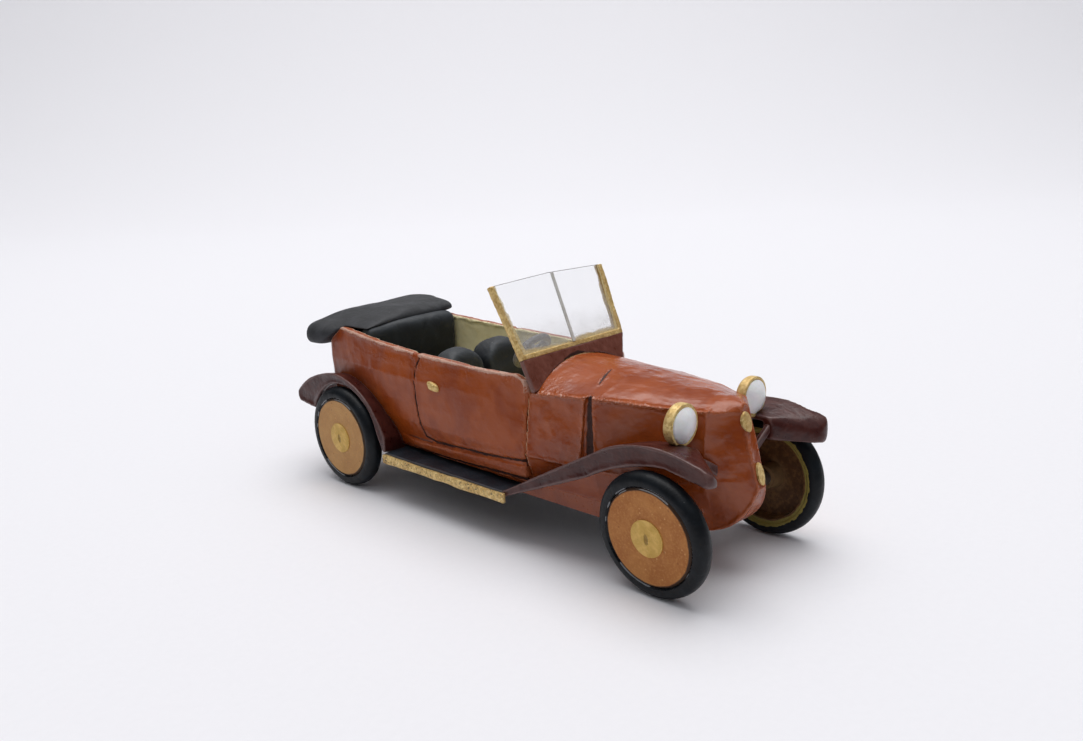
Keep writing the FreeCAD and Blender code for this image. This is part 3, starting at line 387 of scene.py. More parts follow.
def tyre_paint(joint):
    """Satin blue-black; glossy round the bead, and olive where the inner rim paint strayed."""
    f = Finish("tyre_paint_" + joint["child"])
    spot = wheel_place(f, joint)
    radius = out_from_axle(spot)
    depth = spot.part(2)
    grain = f.clouds(spot, 6.0, 3, 0.6)
    wobble = f.clouds(spot, 1.6, 3, 0.6)
    scuffs = f.clouds(spot, 0.9, 3, 0.6, 0.6)
    colour = f.mix(scuffs.step(0.4, 0.75), tint(0.0020, 0.0032, 0.0050), tint(0.0055, 0.0085, 0.0120))
    colour = f.mix(dust(f, spot, 1.3, 0.05) * 0.5, colour, tint(0.22, 0.22, 0.22))
    stray = (radius + wobble * 0.40).step(3.56, 3.52) * depth.step(-1.0, -1.1)
    broken = f.clouds(spot, 0.4, 2).step(0.58, 0.47) * 4.0
    # A broken grey ring at the tyre's bead: painted glints.
    glint = ((radius - TYRE_GLINT_RADIUS) * (radius - TYRE_GLINT_RADIUS) * 700.0 + broken).step(1.0, 0.5)
    glint = glint * depth.step(-0.4, -0.3)
    colour = f.mix(stray, colour, f.mix(grain, tint(0.20, 0.160, 0.035), tint(0.34, 0.285, 0.080)))
    colour = f.mix(glint * 0.55, colour, tint(0.45, 0.46, 0.48))
    bead = radius.step(3.30, 3.20)
    bumps = f.relief(grain, 0.010)
    bumps = f.relief(scuffs, 0.06, bumps)
    return f.surface(colour, 0.36 + grain * 0.14 + stray * 0.1 - bead * 0.16, bumps, specular_ior_level=0.24)


def seat_paint(name, dark, light, matt):
    """Matt black of the seats and the folded hood, greyer where it is rubbed."""
    f = Finish(name)
    spot = f.place()
    grain = f.clouds(spot, 6.0, 3, 0.65)
    rub = f.clouds(spot, 0.8, 3, 0.6, 0.5)
    colour = f.mix((rub * 0.8 + f.mark("edge") * 0.35).step(0.35, 0.75), dark, light)
    # Darker in hollows and corners: painted shade.
    colour = f.mix((f.mark("hollow") + grain * 0.3).step(0.4, 0.9) * 0.8, colour, tint(0.006, 0.006, 0.008))
    colour = f.mix(dust(f, spot, 1.0, 0.05) * 0.4, colour, tint(0.25, 0.25, 0.25))
    bumps = f.relief(grain, 0.012)
    bumps = f.relief(rub, 0.10, bumps)
    return f.surface(colour, matt + grain * 0.18, bumps)


def cream_paint():
    """Cream of the dashboard and inside the cabin."""
    f = Finish("cream_paint")
    spot = f.place()
    grain = f.clouds(spot, 6.0, 2, 0.6)
    smudge = f.clouds(spot, 0.7, 4, 0.6, 0.5)
    colour = f.mix(smudge.step(0.42, 0.72), CREAM_CLEAN, CREAM_STAINED)
    bumps = f.relief(grain, 0.02)
    bumps = f.relief(smudge, 0.08, bumps)
    return f.surface(colour, 0.5 + grain * 0.15, bumps)


def lens_paint():
    """Milky white, laid on thick."""
    f = Finish("lens_paint")
    spot = f.place()
    pool = f.clouds(spot, 1.1, 2)
    colour = f.mix(pool, tint(0.88, 0.88, 0.91), tint(0.97, 0.96, 0.96))
    bumps = f.relief(pool, 0.09)
    return f.surface(colour, 0.22 + pool * 0.1, bumps, subsurface_weight=0.15, subsurface_scale=0.3 * MM)


def axle_wire():
    f = Finish("axle_wire")
    spot = f.place((1, 6, 6))
    drawn = f.clouds(spot, 3.0, 3, 0.6)
    colour = f.mix(drawn, tint(0.20, 0.19, 0.18), tint(0.42, 0.41, 0.39))
    return f.surface(colour, 0.35 + drawn * 0.2, f.relief(drawn, 0.01), metallic=1.0)


def windscreen_sheet(low_corner, high_corner):
    """A clear sheet: cut edges that look dark, a little dust, and gold strayed over its border."""
    f = Finish("windscreen_sheet")
    spot = f.place()
    low, high = [corner / MM for corner in (low_corner[2], high_corner[2])]
    half_low, half_high = SCREEN_HALF_WIDTHS
    height = spot.part(2)
    out = f.node("ShaderNodeMath", {"operation": "ABSOLUTE"}, [spot.part(0)])
    across = (height - low) / (high - low)
    from_side = (half_low + across * (half_high - half_low)) - out
    wander = f.clouds(f.place((1, 1, 1.6)), 0.40, 3, 0.5, 0.2)
    from_top = (high - 0.028 * out) - height
    gold_side = (from_side + (0.52 - wander) * 0.75 - (1.0 - across) * 0.10).step(0.22, 0.10)
    gold_foot = ((height - low) + (0.50 - wander) * 0.9).step(0.30, 0.16)
    gold = f.node("ShaderNodeMath", {"operation": "MAXIMUM"}, [gold_side, gold_foot])
    grain = f.clouds(spot, 7.0, 2, 0.7)
    gold_colour = f.mix(grain.step(0.35, 0.7), tint(0.74, 0.62, 0.34), tint(0.56, 0.40, 0.16))
    leaf = f.node("ShaderNodeBsdfPrincipled", {},
                  {"Base Color": gold_colour, "Roughness": 0.4 + grain * 0.2,
                   "Normal": f.relief(grain, 0.02)})
    specks = dust(f, spot, 1.5, 0.055)
    haze = f.clouds(spot, 0.8, 4, 0.6, 0.3)
    foot = height.step(low + 2.4, low)
    cut = from_top.step(0.055, 0.025)
    veil = haze.step(0.5, 0.9) * 0.02 + foot * haze * 0.40 + specks * 0.55 + cut * 0.75
    colour = f.mix(specks + cut, tint(0.80, 0.80, 0.80), tint(0.10, 0.09, 0.08))
    clear = f.node("ShaderNodeBsdfTransparent", {}, [tint(0.995, 0.998, 1.0)])
    film = f.node("ShaderNodeBsdfPrincipled", {},
                  {"Base Color": colour, "Roughness": 0.12, "Normal": f.relief(haze, 0.004)})
    shine = f.node("ShaderNodeFresnel", {}, {"IOR": 1.45})
    sheet = f.node("ShaderNodeMixShader", {}, [veil + shine * 0.10, clear, film])
    f.show(f.node("ShaderNodeMixShader", {}, [gold * 0.85, sheet, leaf]))
    return f.material


def bar_strip():
    """The greyish, half-clear strip down the middle of the windscreen."""
    f = Finish("bar_strip")
    spot = f.place((1, 1, 0.5))
    haze = f.clouds(spot, 2.5, 3, 0.6)
    colour = f.mix(haze, tint(0.50, 0.49, 0.45), tint(0.72, 0.71, 0.67))
    return f.surface(colour, 0.35 + haze * 0.2, f.relief(haze, 0.03))


# ------------------------------------------------------------------ shaping
def points_of(mesh, kind="co"):
    flat = np.empty(len(mesh.vertices) * 3, np.float32)
    mesh.vertices.foreach_get(kind, flat)
    return flat.reshape(-1, 3).astype(float)


def set_points(mesh, points):
    mesh.vertices.foreach_set("co", points.astype(np.float32).ravel())
    mesh.update()


def neighbours_mean(mesh, values, rounds):
    """Each point's value, evened out over its neighbours so many times."""
    pairs = np.empty(len(mesh.edges) * 2, np.int32)
    mesh.edges.foreach_get("vertices", pairs)
    a, b = pairs.reshape(-1, 2).T
    count = len(mesh.vertices)
    around = np.bincount(a, minlength=count) + np.bincount(b, minlength=count)
    around = np.maximum(around, 1)
    out = values.copy()
    for _ in range(rounds):
        total = np.stack([np.bincount(a, out[b, i], count) + np.bincount(b, out[a, i], count)
                          for i in range(out.shape[1])], axis=1)
        out = total / around[:, None]
    return out


def keep_mark(mesh, name, values):
    mark = mesh.attributes.get(name) or mesh.attributes.new(name, "FLOAT", "POINT")
    mark.data.foreach_set("value", values.astype(np.float32))


def mark_wear_and_shade(mesh, rounds, full):
    """Marks how far each point stands out as an edge, where the paint wears, or lies in a corner, where
    shade is painted, in shares of full.
    """
    points = points_of(mesh)
    proud = ((points - neighbours_mean(mesh, points, rounds)) * points_of(mesh, "normal")).sum(1)
    keep_mark(mesh, "edge", np.clip(proud / full, 0, 1))
    keep_mark(mesh, "hollow", np.clip(-proud / full, 0, 1))


# Lowest height and rearmost place of the crests, where sparkle highlights are painted on and the paint is
# grainier.
CREST_FOOT = 9.0
CREST_BACK = 14


def mark_crest(mesh, slope, out, share):
    """Marks where a side rolls over into the top, above CREST_FOOT, on what lies beyond out."""
    points, normals = points_of(mesh), points_of(mesh, "normal")
    rolled = np.clip(1 - np.abs(normals[:, 2] - slope) / 0.32, 0, 1)
    rolled = rolled * (np.abs(points[:, 0]) > out) * (normals[:, 0] * points[:, 0] > 0)
    rolled = rolled * (points[:, 2] > CREST_FOOT) * (points[:, 1] < CREST_BACK)
    proud = ((points - neighbours_mean(mesh, points, 24)) * normals).sum(1)
    proud = np.clip(proud / 0.05 - 0.4, 0, 1) * (points[:, 2] > CREST_FOOT) * (np.abs(points[:, 0]) > out)
    proud = proud * np.clip(normals[:, 2] * 4 - 0.6, 0, 1)
    rolled = np.maximum(neighbours_mean(mesh, rolled[:, None], 5)[:, 0] * 2.5, proud) * share
    keep_mark(mesh, "crest", np.clip(neighbours_mean(mesh, rolled[:, None], 2)[:, 0], 0, 1))


def uneven(mesh, size, height, seed):
    """Hand-made unevenness: soft swellings of that size and height."""
    points = points_of(mesh)
    shift = Vector((seed * 7.3, seed * 3.1, seed * 5.7))
    lift = np.array([noise.noise(Vector(p) / size + shift) for p in points])
    set_points(mesh, points + points_of(mesh, "normal") * (lift * height)[:, None])


def push(mesh, pushes):
    """Presses or draws out places by hand: centre, reach and move of each, all along X, Y, Z."""
    points = points_of(mesh)
    for centre, reach, move in pushes:
        away = ((points - np.array(centre)) / np.array(reach)) ** 2
        share = np.clip(1 - away.sum(1), 0, 1) ** 1.5
        points = points + share[:, None] * np.array(move)
    set_points(mesh, points)


def ease(mesh, share, rounds):
    """Evens out the places where share is high, and leaves the rest."""
    points = points_of(mesh)
    share = share[:, None]
    set_points(mesh, points * (1 - share) + neighbours_mean(mesh, points, rounds) * share)


# Widths away from a line at which it no longer matters.
OUT_OF_REACH = 9.0


def from_line(points, places, first=1, second=2):
    """Each point's distance from a line of places in a flat view, in the line's own widths there."""
    flat = points[:, [first, second]]
    best = np.full(len(flat), OUT_OF_REACH)
    for (a0, a1, wide_a), (b0, b1, wide_b) in zip(places, places[1:]):
        start, run = np.array((a0, a1)), np.array((b0 - a0, b1 - a1))
        along = np.clip((flat - start) @ run / (run @ run), 0, 1)
        gap = np.linalg.norm(flat - start - along[:, None] * run, axis=1)
        best = np.minimum(best, gap / (wide_a + (wide_b - wide_a) * along))
    return best


def engrave(mesh, lines, depth, tops=()):
    """Scores lines into the sides, and others into the top, and keeps how near each point is."""
    points, normals = points_of(mesh), points_of(mesh, "normal")
    on_side = (np.abs(normals[:, 0]) > 0.35) & (np.abs(points[:, 0]) > 2.5)
    outward = on_side & (normals[:, 0] * points[:, 0] > 0)
    near = np.full(len(points), OUT_OF_REACH)
    for places in lines:
        near = np.minimum(near, np.where(outward, from_line(points, places), OUT_OF_REACH))
    for places in tops:
        near = np.minimum(near, np.where(normals[:, 2] > 0.5, from_line(points, places, 0, 1), OUT_OF_REACH))
    sunk = depth * np.clip(1.15 - near * near, 0, 1)
    set_points(mesh, points - normals * sunk[:, None])
    keep_mark(mesh, "line", np.clip(1 - near / 3, 0, 1))


def fit_box(mesh, low, high):
    """Brings a mesh that shrank while it was smoothed back to a box."""
    points = points_of(mesh)
    least, most = points.min(0), points.max(0)
    low, high = np.array(low), np.array(high)
    set_points(mesh, low + (points - least) * (high - low) / (most - least))


def node_box(*nodes):
    corners = np.array([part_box(node) for node in nodes]) / MM
    return corners[:, 0].min(0), corners[:, 1].max(0)


def baked(piece):
    """Takes the piece's modifiers into its mesh."""
    bpy.context.view_layer.update()
    shaped = piece.evaluated_get(bpy.context.evaluated_depsgraph_get())
    mesh = bpy.data.meshes.new_from_object(shaped)
    piece.modifiers.clear()
    piece.data = mesh


def new_piece(name, mesh):
    piece = bpy.data.objects.new(name, mesh)
    scene.collection.objects.link(piece)
    return piece


def cast(name, sources, grid, relax):
    """A softened casting in the shape of CAD nodes, still in millimetres."""
    bm = bmesh.new()
    for source in sources:
        bm.from_mesh(cad_nodes[source].data)
    bmesh.ops.scale(bm, vec=(1 / MM,) * 3, verts=bm.verts)
    bmesh.ops.remove_doubles(bm, verts=bm.verts, dist=0.002)
    mesh = bpy.data.meshes.new(name)
    bm.to_mesh(mesh)
    bm.free()
    piece = new_piece(name, mesh)
    remesh = piece.modifiers.new("cast", "REMESH")
    remesh.mode = "VOXEL"
    remesh.voxel_size = grid
    baked(piece)
    soften = piece.modifiers.new("soften", "SMOOTH")
    soften.factor = 0.5
    soften.iterations = relax
    baked(piece)
    return piece


def settle(piece, finish, replaced):
    """Brings a finished piece to metres and hangs it on the car's body in place of its nodes."""
    piece.data.transform(Matrix.Scale(MM, 4))
    piece.data.materials.clear()
    piece.data.materials.append(finish)
    piece.data.shade_smooth()
    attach(piece, "car_body")
    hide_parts(*replaced)


# ------------------------------------------------------------------ camera, floor and lights
CAMERA_SPOT = Vector((-49.748, -50.675, 28.495)) * MM
CAMERA_AROUND = math.radians(-45.297)
CAMERA_UP = math.radians(14.622)
CAMERA_ROLL = math.radians(-2.444)
LENS = 34.04


def set_camera():
    back = Vector((math.sin(CAMERA_AROUND) * math.cos(CAMERA_UP),
                   -math.cos(CAMERA_AROUND) * math.cos(CAMERA_UP), math.sin(CAMERA_UP)))
    level = (-back).cross(Vector((0, 0, 1))).normalized()
    upright = level.cross(-back)
    right = level * math.cos(CAMERA_ROLL) + upright * math.sin(CAMERA_ROLL)
    top = upright * math.cos(CAMERA_ROLL) - level * math.sin(CAMERA_ROLL)
    data = bpy.data.cameras.new("camera")
    data.lens = LENS
    data.sensor_width = 36.0
    data.clip_start = 0.002
    data.clip_end = 20.0
    camera = bpy.data.objects.new("camera", data)
    camera.matrix_world = Matrix((
        (right.x, top.x, back.x, CAMERA_SPOT.x),
        (right.y, top.y, back.y, CAMERA_SPOT.y),
        (right.z, top.z, back.z, CAMERA_SPOT.z),
        (0, 0, 0, 1)))
    scene.collection.objects.link(camera)
    scene.camera = camera


def floor_finish():
    f = Finish("pale_floor")
    spot = f.place()
    fibre = f.clouds(spot, 2.0, 3, 0.6)
    colour = f.mix(fibre, tint(0.80, 0.795, 0.825), tint(0.83, 0.825, 0.855))
    return f.surface(colour, 0.75, f.relief(fibre, 0.01))


# Where the sheets on the floor begin to curve up behind the car, and the radius of that curve.
CURVE_FROM = 0.18
CURVE_RADIUS = 0.17


def make_sheet(name, half, half_far, near, lowered):
    """A pale sheet that lies flat and curves up far behind the car."""
    bm = bmesh.new()
    start = bm.verts.new((-half, near, -lowered))
    end = bm.verts.new((half, near, -lowered))
    line = bm.edges.new((start, end))
    flat = bmesh.ops.extrude_edge_only(bm, edges=[line])
    moved = [v for v in flat["geom"] if isinstance(v, bmesh.types.BMVert)]
    bmesh.ops.translate(bm, verts=moved, vec=(0, CURVE_FROM - near, 0))
    bmesh.ops.scale(bm, verts=moved, vec=(half_far / half, 1, 1))
    edge = [e for e in flat["geom"] if isinstance(e, bmesh.types.BMEdge)]
    bmesh.ops.spin(bm, geom=edge, cent=(0, CURVE_FROM, CURVE_RADIUS), axis=(1, 0, 0),
                   angle=math.radians(80), steps=32)
    bm.normal_update()
    mesh = bpy.data.meshes.new(name)
    bm.to_mesh(mesh)
    bm.free()
    mesh.transform(Matrix.Rotation(CAMERA_AROUND, 4, "Z"))
    mesh.materials.append(FLOOR)
    mesh.shade_smooth()
    sheet = new_piece(name, mesh)
    return sheet


def make_floor():
    """A narrow sheet that the paint mirrors, on a wide one that it doesn't."""
    make_sheet("floor", 0.055, 0.30, -0.10, 0.0)
    make_sheet("floor_beyond", 1.8, 1.8, -1.5, 0.0001).visible_glossy = False


# The round lamp overhead: its place and width in metres, its power and its colour.
LAMP_SPOT = Vector((0.06, 0.06, 0.45))
LAMP_WIDTH = 0.50
LAMP_POWER = 1.86
LAMP_COLOUR = (1.0, 0.99, 0.985)


def make_lamp():
    """One wide soft lamp that points at the middle of the floor."""
    data = bpy.data.lights.new("soft_overhead", "AREA")
    data.shape = "DISK"
    data.size = LAMP_WIDTH
    data.energy = LAMP_POWER
    data.color = LAMP_COLOUR
    lamp = bpy.data.objects.new("soft_overhead", data)
    lamp.location = LAMP_SPOT
    lamp.rotation_euler = (-LAMP_SPOT).to_track_quat("-Z", "Y").to_euler()
    scene.collection.objects.link(lamp)


# The room's brightness near the ground and overhead, and the heights between which it changes.
ROOM_LOW = 0.07
ROOM_HIGH = 0.62
CEILING_FROM = 0.42
CEILING_FULL = 0.72


def make_room():
    """A dark room under a wide bright ceiling."""
    world = bpy.data.worlds.new("room")
    world.use_nodes = True
    scene.world = world
    tree = world.node_tree
    tree.nodes.clear()

    def add(kind, settings, values):
        made = tree.nodes.new(kind)
        for name, value in settings.items():
            setattr(made, name, value)
        for key, value in values.items():
            if isinstance(value, bpy.types.NodeSocket):
                tree.links.new(value, made.inputs[key])
            else:
                made.inputs[key].default_value = value
        return made

    way = add("ShaderNodeTexCoord", {}, {}).outputs["Generated"]
    upwards = add("ShaderNodeVectorMath", {"operation": "DOT_PRODUCT"}, {0: way, 1: (0, 0, 1)})
    height = upwards.outputs["Value"]
    overhead = add("ShaderNodeMapRange", {"interpolation_type": "SMOOTHSTEP"},
                   {0: height, 1: CEILING_FROM, 2: CEILING_FULL, 3: ROOM_LOW,
                    4: ROOM_HIGH}).outputs[0]
    light = add("ShaderNodeBackground", {}, {"Color": (0.945, 0.96, 1.0, 1)})
    tree.links.new(overhead, light.inputs["Strength"])
    seen = add("ShaderNodeBackground", {}, {"Color": (0.69, 0.675, 0.725, 1), "Strength": 1.0})
    path = add("ShaderNodeLightPath", {}, {})
    both = add("ShaderNodeMixShader", {}, {0: path.outputs["Is Camera Ray"], 1: light.outputs[0],
                                           2: seen.outputs[0]})
    out = add("ShaderNodeOutputWorld", {}, {})
    tree.links.new(both.outputs[0], out.inputs["Surface"])


set_camera()
FLOOR = floor_finish()
make_floor()
make_room()
make_lamp()

# ------------------------------------------------------------------ pieces
RUST = rust_paint("rust_paint", 0.17, 0.50)
TUB_RUST = rust_paint("tub_rust_paint", 0.26, 0.32)
MAROON = maroon_paint()
APRON_MAROON = maroon_paint("apron_maroon", tint(0.145, 0.044, 0.028), tint(0.200, 0.070, 0.048))
BOARD = board_paint()
CHASSIS = chassis_paint(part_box("chassis")[1][0] / MM)
GOLD = gold_paint("gold_paint", 0.42)
STRIP_GOLD = gold_paint("strip_gold", 0.92)
SEAT = seat_paint("seat_paint", tint(0.012, 0.015, 0.019), tint(0.032, 0.038, 0.045), 0.50)
HOOD = seat_paint("hood_paint", tint(0.016, 0.017, 0.020), tint(0.040, 0.042, 0.048), 0.58)
CREAM = cream_paint()
LENS_WHITE = lens_paint()
STEEL = axle_wire()
SHEET = windscreen_sheet(*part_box("windscreen_pane"))
BAR = bar_strip()
STEERING = steering_paint()

# Scored lines on the sides: distance along the car, height and half width of each place.
BONNET_GROOVE = ((-9.86, 10.80, 0.16), (-9.92, 9.30, 0.22), (-10.02, 7.60, 0.34), (-10.05, 6.40, 0.36))
SCUTTLE_LINE = ((-5.02, 10.60, 0.05), (-5.00, 8.60, 0.08), (-5.06, 6.80, 0.10), (-4.97, 5.60, 0.10),
                (-5.02, 3.70, 0.10))
DOOR_LINE = ((5.52, 11.25, 0.10), (5.84, 10.60, 0.07), (6.02, 9.60, 0.06), (5.93, 8.00, 0.08),
             (5.99, 6.30, 0.08), (5.70, 5.25, 0.11), (4.60, 5.04, 0.09), (3.20, 5.10, 0.10),
             (1.20, 5.26, 0.07), (-0.90, 5.33, 0.11), (-3.00, 5.52, 0.08), (-4.90, 5.74, 0.12))
SILL_FOOT = ((7.80, 3.84, 0.08), (3.50, 3.98, 0.10), (-1.80, 4.26, 0.14), (-5.20, 4.40, 0.12))
# The straight cut that the door line was scored over.
CUT_DOOR = ((5.99, 12.5, 0.28), (5.99, 5.8, 0.28), (5.3, 5.06, 0.28), (-5.0, 5.06, 0.28))
# A short crack over the top: sideways, along the car, half width.
TOP_CRACK = ((-3.00, -9.42, 0.04), (-1.90, -9.02, 0.10), (-0.75, -8.62, 0.03))

# Where the castings were pressed or drawn out by hand: centre, reach and move, in millimetres.
BONNET_PUSHES = (
    ((4.3, -11.0, 10.9), (2.6, 4.2, 1.6), (0, 0, -0.20)),
    ((0.0, -17.6, 10.7), (1.8, 1.6, 1.2), (0, -0.05, 0.10)),
)
TUB_PUSHES = (
    ((0, 17.9, 12.0), (9.0, 1.8, 4.6), (0, 0.40, 0)),
    ((-5.1, -4.5, 10.6), (1.5, 2.0, 1.1), (-0.08, 0, 0.34)),
    ((5.1, -4.5, 10.6), (1.5, 2.0, 1.1), (0.05, 0, 0.28)),
)
HOOD_PUSHES = (
    ((-5.6, 18.6, 11.2), (2.4, 3.4, 2.2), (-0.40, 0, 0)),
    ((5.4, 16.3, 12.0), (4.2, 5.2, 3.4), (0.90, -0.20, 0.30)),
)
REAR_SEAT_PUSHES = (
    ((2.0, 13.4, 10.8), (7.0, 2.8, 4.4), (0, -0.90, 0.15)),
    ((0, 13.4, 12.1), (7.5, 2.6, 1.7), (0, -0.10, 0.42)),
)
FRONT_SEAT_PUSHES = (
    ((0, 5.5, 10.8), (6.5, 3.0, 2.8), (0, 0.75, 0.08)),
)
# Wings: the far one's tip was drawn out further.
WING_PUSHES = {
    "left": (((6.3, -20.0, 7.9), (1.4, 1.5, 1.9), (0.40, 0.0, 0)),),
    "right": (),
}
# Corners of a front wing's tip that were rubbed round: outwards, along, up and reach.
WING_TIPS = ((6.3, -20.0, 7.6, 1.7), (4.3, -19.3, 8.2, 1.2))


def make_bonnet():
    piece = cast("bonnet_casting", ["bonnet", "scuttle"], 0.10, 2)
    mesh = piece.data
    uneven(mesh, 2.6, 0.05, 1)
    push(mesh, BONNET_PUSHES)
    engrave(mesh, [BONNET_GROOVE], 0.05, [TOP_CRACK])
    uneven(mesh, 0.7, 0.016, 21)
    mark_wear_and_shade(mesh, 6, 0.035)
    mark_crest(mesh, 0.62, 2.0, 1.0)
    faces_cabin = (points_of(mesh, "normal")[:, 1] > 0.6) & (points_of(mesh)[:, 1] > -7)
    keep_mark(mesh, "inside", faces_cabin.astype(float))
    settle(piece, RUST, ["bonnet", "scuttle"])


# Heights of the cabin's floor and of the tub's rim, half the floor's width, and where the back
# wall begins along the car.
FLOOR_HEIGHT = 5.0
FLOOR_HALF_WIDTH = 4.5
RIM_FOOT = 10.2
CREST_RIM_FOOT = 10.4
BACK_WALL = 15.5


def make_tub():
    piece = cast("tub_casting", ["body_tub"], 0.12, 2)
    mesh = piece.data
    points = points_of(mesh)
    by_cut = np.clip(1.6 - from_line(points, CUT_DOOR), 0, 1)
    ease(mesh, by_cut * (np.abs(points[:, 0]) > FLOOR_HALF_WIDTH), 14)
    uneven(mesh, 2.8, 0.05, 2)
    push(mesh, TUB_PUSHES)
    swell_sill(mesh)
    engrave(mesh, [DOOR_LINE, SCUTTLE_LINE, SILL_FOOT], 0.09)
    uneven(mesh, 0.8, 0.018, 22)
    mark_wear_and_shade(mesh, 5, 0.040)
    mark_crest(mesh, 0.45, 4.0, np.where(points_of(mesh)[:, 2] > CREST_RIM_FOOT, 0.5, 0))
    points, normals = points_of(mesh), points_of(mesh, "normal")
    cabin_floor = (np.abs(points[:, 2] - FLOOR_HEIGHT) < 0.6) & (np.abs(points[:, 0]) < FLOOR_HALF_WIDTH)
    facing_in = -normals[:, 0] * np.sign(points[:, 0])
    facing_in = np.maximum(facing_in, np.where(points[:, 1] > BACK_WALL, -normals[:, 1], -1))
    facing_in = np.maximum(facing_in, np.where(cabin_floor, normals[:, 2], -1))
    inside = np.clip(0.5 + (facing_in - 0.45) * 2.5, 0, 1)
    keep_mark(mesh, "inside", neighbours_mean(mesh, inside[:, None], 2)[:, 0])
    keep_mark(mesh, "rim", np.clip((points[:, 2] - RIM_FOOT) / 0.4, 0, 1))
    settle(piece, TUB_RUST, ["body_tub"])


# The ledge under the doors: its foot's height, its top's height from front to back, how far it
# stands out, and where it fades away towards the back.
SILL_LOW = 4.0
SILL_TOP = ((-5, 6), (5.42, 4.82))
SILL_SWELL = 0.22
SILL_END = 9.5


def swell_sill(mesh):
    """The thick ledge along the bottom of the sides, under the doors."""
    points, normals = points_of(mesh), points_of(mesh, "normal")
    rise = np.interp(points[:, 1], *SILL_TOP)
    level = (points[:, 2] - SILL_LOW) / (rise - SILL_LOW)
    swell = SILL_SWELL * np.clip(1 - (level - 0.5) ** 2 * 4, 0, 1) ** 0.5
    fade = np.clip((SILL_END - points[:, 1]) / 2.5, 0, 1)
    swell = swell * fade * (normals[:, 0] * np.sign(points[:, 0]) > 0.3)
    moved = points.copy()
    moved[:, 0] += np.sign(points[:, 0]) * swell
    set_points(mesh, neighbours_mean(mesh, moved, 1) * 0.5 + moved * 0.5)


def make_painted(name, node, grid, relax, swell, finish, wear, seed, pushes=()):
    """A small casting, softened, made uneven by swell and painted; wear is what counts as an edge, and as a
    hollow, where shade is painted.
    """
    piece = cast(name, [node], grid, relax)
    uneven(piece.data, 1.6, swell, seed)
    push(piece.data, pushes)
    mark_wear_and_shade(piece.data, 5, wear)
    settle(piece, finish, [node])


def make_padding(name, nodes, grid, relax, finish, seed, pushes):
    """Seats and hood: cast very soft, brought back to size, then made uneven."""
    piece = cast(name, nodes, grid, relax)
    low, high = node_box(*nodes)
    fit_box(piece.data, low + 0.10, high - 0.10)
    uneven(piece.data, 1.7, 0.07, seed)
    push(piece.data, pushes)
    ease(piece.data, np.ones(len(piece.data.vertices)), 12)
    mark_wear_and_shade(piece.data, 8, 0.05)
    settle(piece, finish, nodes)


def hollow_sides(mesh, depth):
    """Lets the outer face of a wing sink between its rolled edges."""
    points, normals = points_of(mesh), points_of(mesh, "normal")
    proud = ((points - neighbours_mean(mesh, points, 6)) * normals).sum(1)
    edge = neighbours_mean(mesh, np.clip(proud / 0.03, 0, 1)[:, None], 3)[:, 0]
    outer = np.clip((normals[:, 0] * np.sign(points[:, 0]) - 0.75) * 6, 0, 1)
    sunk = depth * np.clip(1 - 2.2 * edge, 0, 1) * outer
    sunk = neighbours_mean(mesh, sunk[:, None], 2)
    set_points(mesh, points - normals * sunk)


def make_wing(end, side, seed):
    node = end + "_wing_" + side
    piece = cast(end + "_wing_casting_" + side, [node], 0.08, 4)
    mesh = piece.data
    uneven(mesh, 1.6, 0.04, seed)
    if end == "front":
        push(mesh, WING_PUSHES[side])
    hollow_sides(mesh, 0.09)
    if end == "front":
        for out, along, up, reach in WING_TIPS:
            tip = np.array((out if side == "left" else -out, along, up))
            away = np.linalg.norm(points_of(mesh) - tip, axis=1)
            ease(mesh, np.clip(1.4 - away / reach, 0, 1), 16)
    mark_wear_and_shade(mesh, 5, 0.03)
    settle(piece, MAROON, [node])


# Painted shade in the open seam under the apron's foot: sideways, height, half width.
APRON_GAP_SHADE = ((-1.45, 11.86, 0.03), (-0.70, 11.98, 0.09), (0.05, 12.04, 0.10), (0.60, 11.98, 0.03))


def make_apron():
    piece = cast("apron_casting", ["windscreen_apron"], 0.06, 2)
    mesh = piece.data
    uneven(mesh, 1.6, 0.02, 14)
    mark_wear_and_shade(mesh, 5, 0.02)
    # A dark line along the seam: painted shade.
    seam_shade = np.clip(2.0 - from_line(points_of(mesh), APRON_GAP_SHADE, 0, 2), 0, 1)
    keep_mark(mesh, "hollow", seam_shade)
    settle(piece, APRON_MAROON, ["windscreen_apron"])


# A door handle's half size, and how far its middle is sunk into the door.
HANDLE_HALF_SIZE = (0.22, 0.64, 0.32)
HANDLE_SUNK = 0.06


def make_handle(side, turn):
    """A tilted dab of gold on the door."""
    node = "door_handle_" + side
    low, high = node_box(node)
    middle = (low + high) / 2
    bm = bmesh.new()
    bmesh.ops.create_icosphere(bm, subdivisions=4, radius=1.0)
    bmesh.ops.scale(bm, vec=HANDLE_HALF_SIZE, verts=bm.verts)
    bmesh.ops.rotate(bm, cent=(0, 0, 0), matrix=Matrix.Rotation(turn, 3, "X"), verts=bm.verts)
    inwards = np.array((math.copysign(HANDLE_SUNK, middle[0]), 0, 0))
    bmesh.ops.translate(bm, vec=middle - inwards, verts=bm.verts)
    mesh = bpy.data.meshes.new(node + "_dab")
    bm.to_mesh(mesh)
    bm.free()
    uneven(mesh, 0.45, 0.07, 31)
    settle(new_piece(node + "_dab", mesh), GOLD, [node])


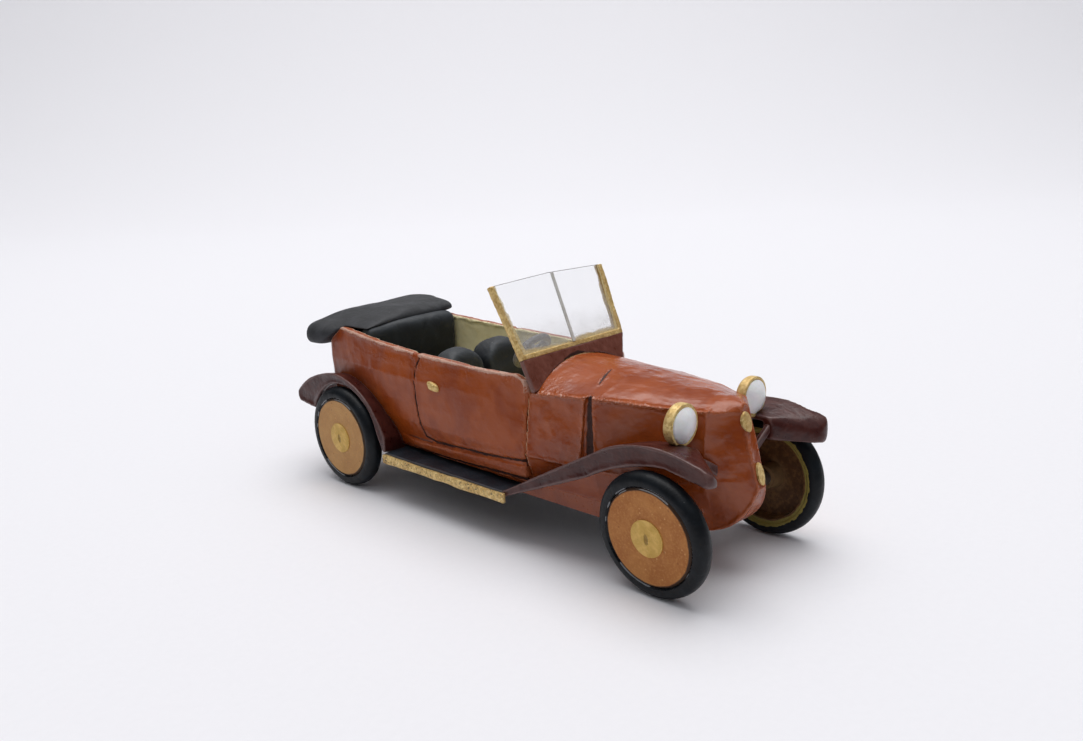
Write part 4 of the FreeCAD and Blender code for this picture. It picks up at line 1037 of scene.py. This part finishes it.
def paint_node(node, finish):
    mesh = cad_nodes[node].data
    mesh.materials.clear()
    mesh.materials.append(finish)


make_bonnet()
make_tub()
for side in ("left", "right"):
    make_wing("front", side, 4)
    make_wing("rear", side, 5)
    make_padding("front_seat_casting_" + side, ["front_seat_" + side], 0.10, 26, SEAT, 6,
                 FRONT_SEAT_PUSHES)
    make_painted("board_casting_" + side, "running_board_" + side, 0.08, 2, 0.03, BOARD,
                 0.03, 7)
    make_painted("strip_casting_" + side, "running_board_strip_" + side, 0.05, 4, 0.07, STRIP_GOLD,
                 0.02, 8)
    make_painted("headlamp_casting_" + side, "headlamp_" + side, 0.05, 5, 0.04, GOLD,
                 0.02, 9)
    middle = sum(node_box("headlamp_lens_" + side)) / 2
    bulge = [(tuple(middle), (1.25, 1.25, 1.25), (0, -0.22, 0.03))]
    make_painted("lens_casting_" + side, "headlamp_lens_" + side, 0.05, 4, 0.05, LENS_WHITE,
                 0.02, 10, bulge)
    make_painted("stay_casting_" + side, "front_wing_stay_" + side, 0.05, 3, 0.03, MAROON,
                 0.02, 11)
make_handle("right", math.radians(20))
make_handle("left", math.radians(15))
make_padding("hood_casting", ["folded_hood"], 0.11, 80, HOOD, 12, HOOD_PUSHES)
make_padding("rear_seat_casting", ["rear_seat"], 0.12, 14, SEAT, 13, REAR_SEAT_PUSHES)
make_apron()
make_painted("screen_frame_paint", "windscreen_frame", 0.05, 2, 0.05, GOLD, 0.02, 15)

for joint in frame["joints"]:
    end = joint["child"].removeprefix("wheel_")
    paint_node("tyre_" + end, tyre_paint(joint))
    paint_node("wheel_disc_" + end, disc_paint(joint))
    paint_node("hub_cap_" + end, hub_paint(joint))
for node, finish in (
        ("chassis", CHASSIS), ("dashboard", CREAM), ("nose_badge", GOLD), ("crank_socket", GOLD),
        ("steering_column", STEERING), ("steering_wheel", STEERING), ("windscreen_bar", BAR),
        ("windscreen_pane", SHEET), ("front_axle", STEEL), ("rear_axle", STEEL)):
    paint_node(node, finish)
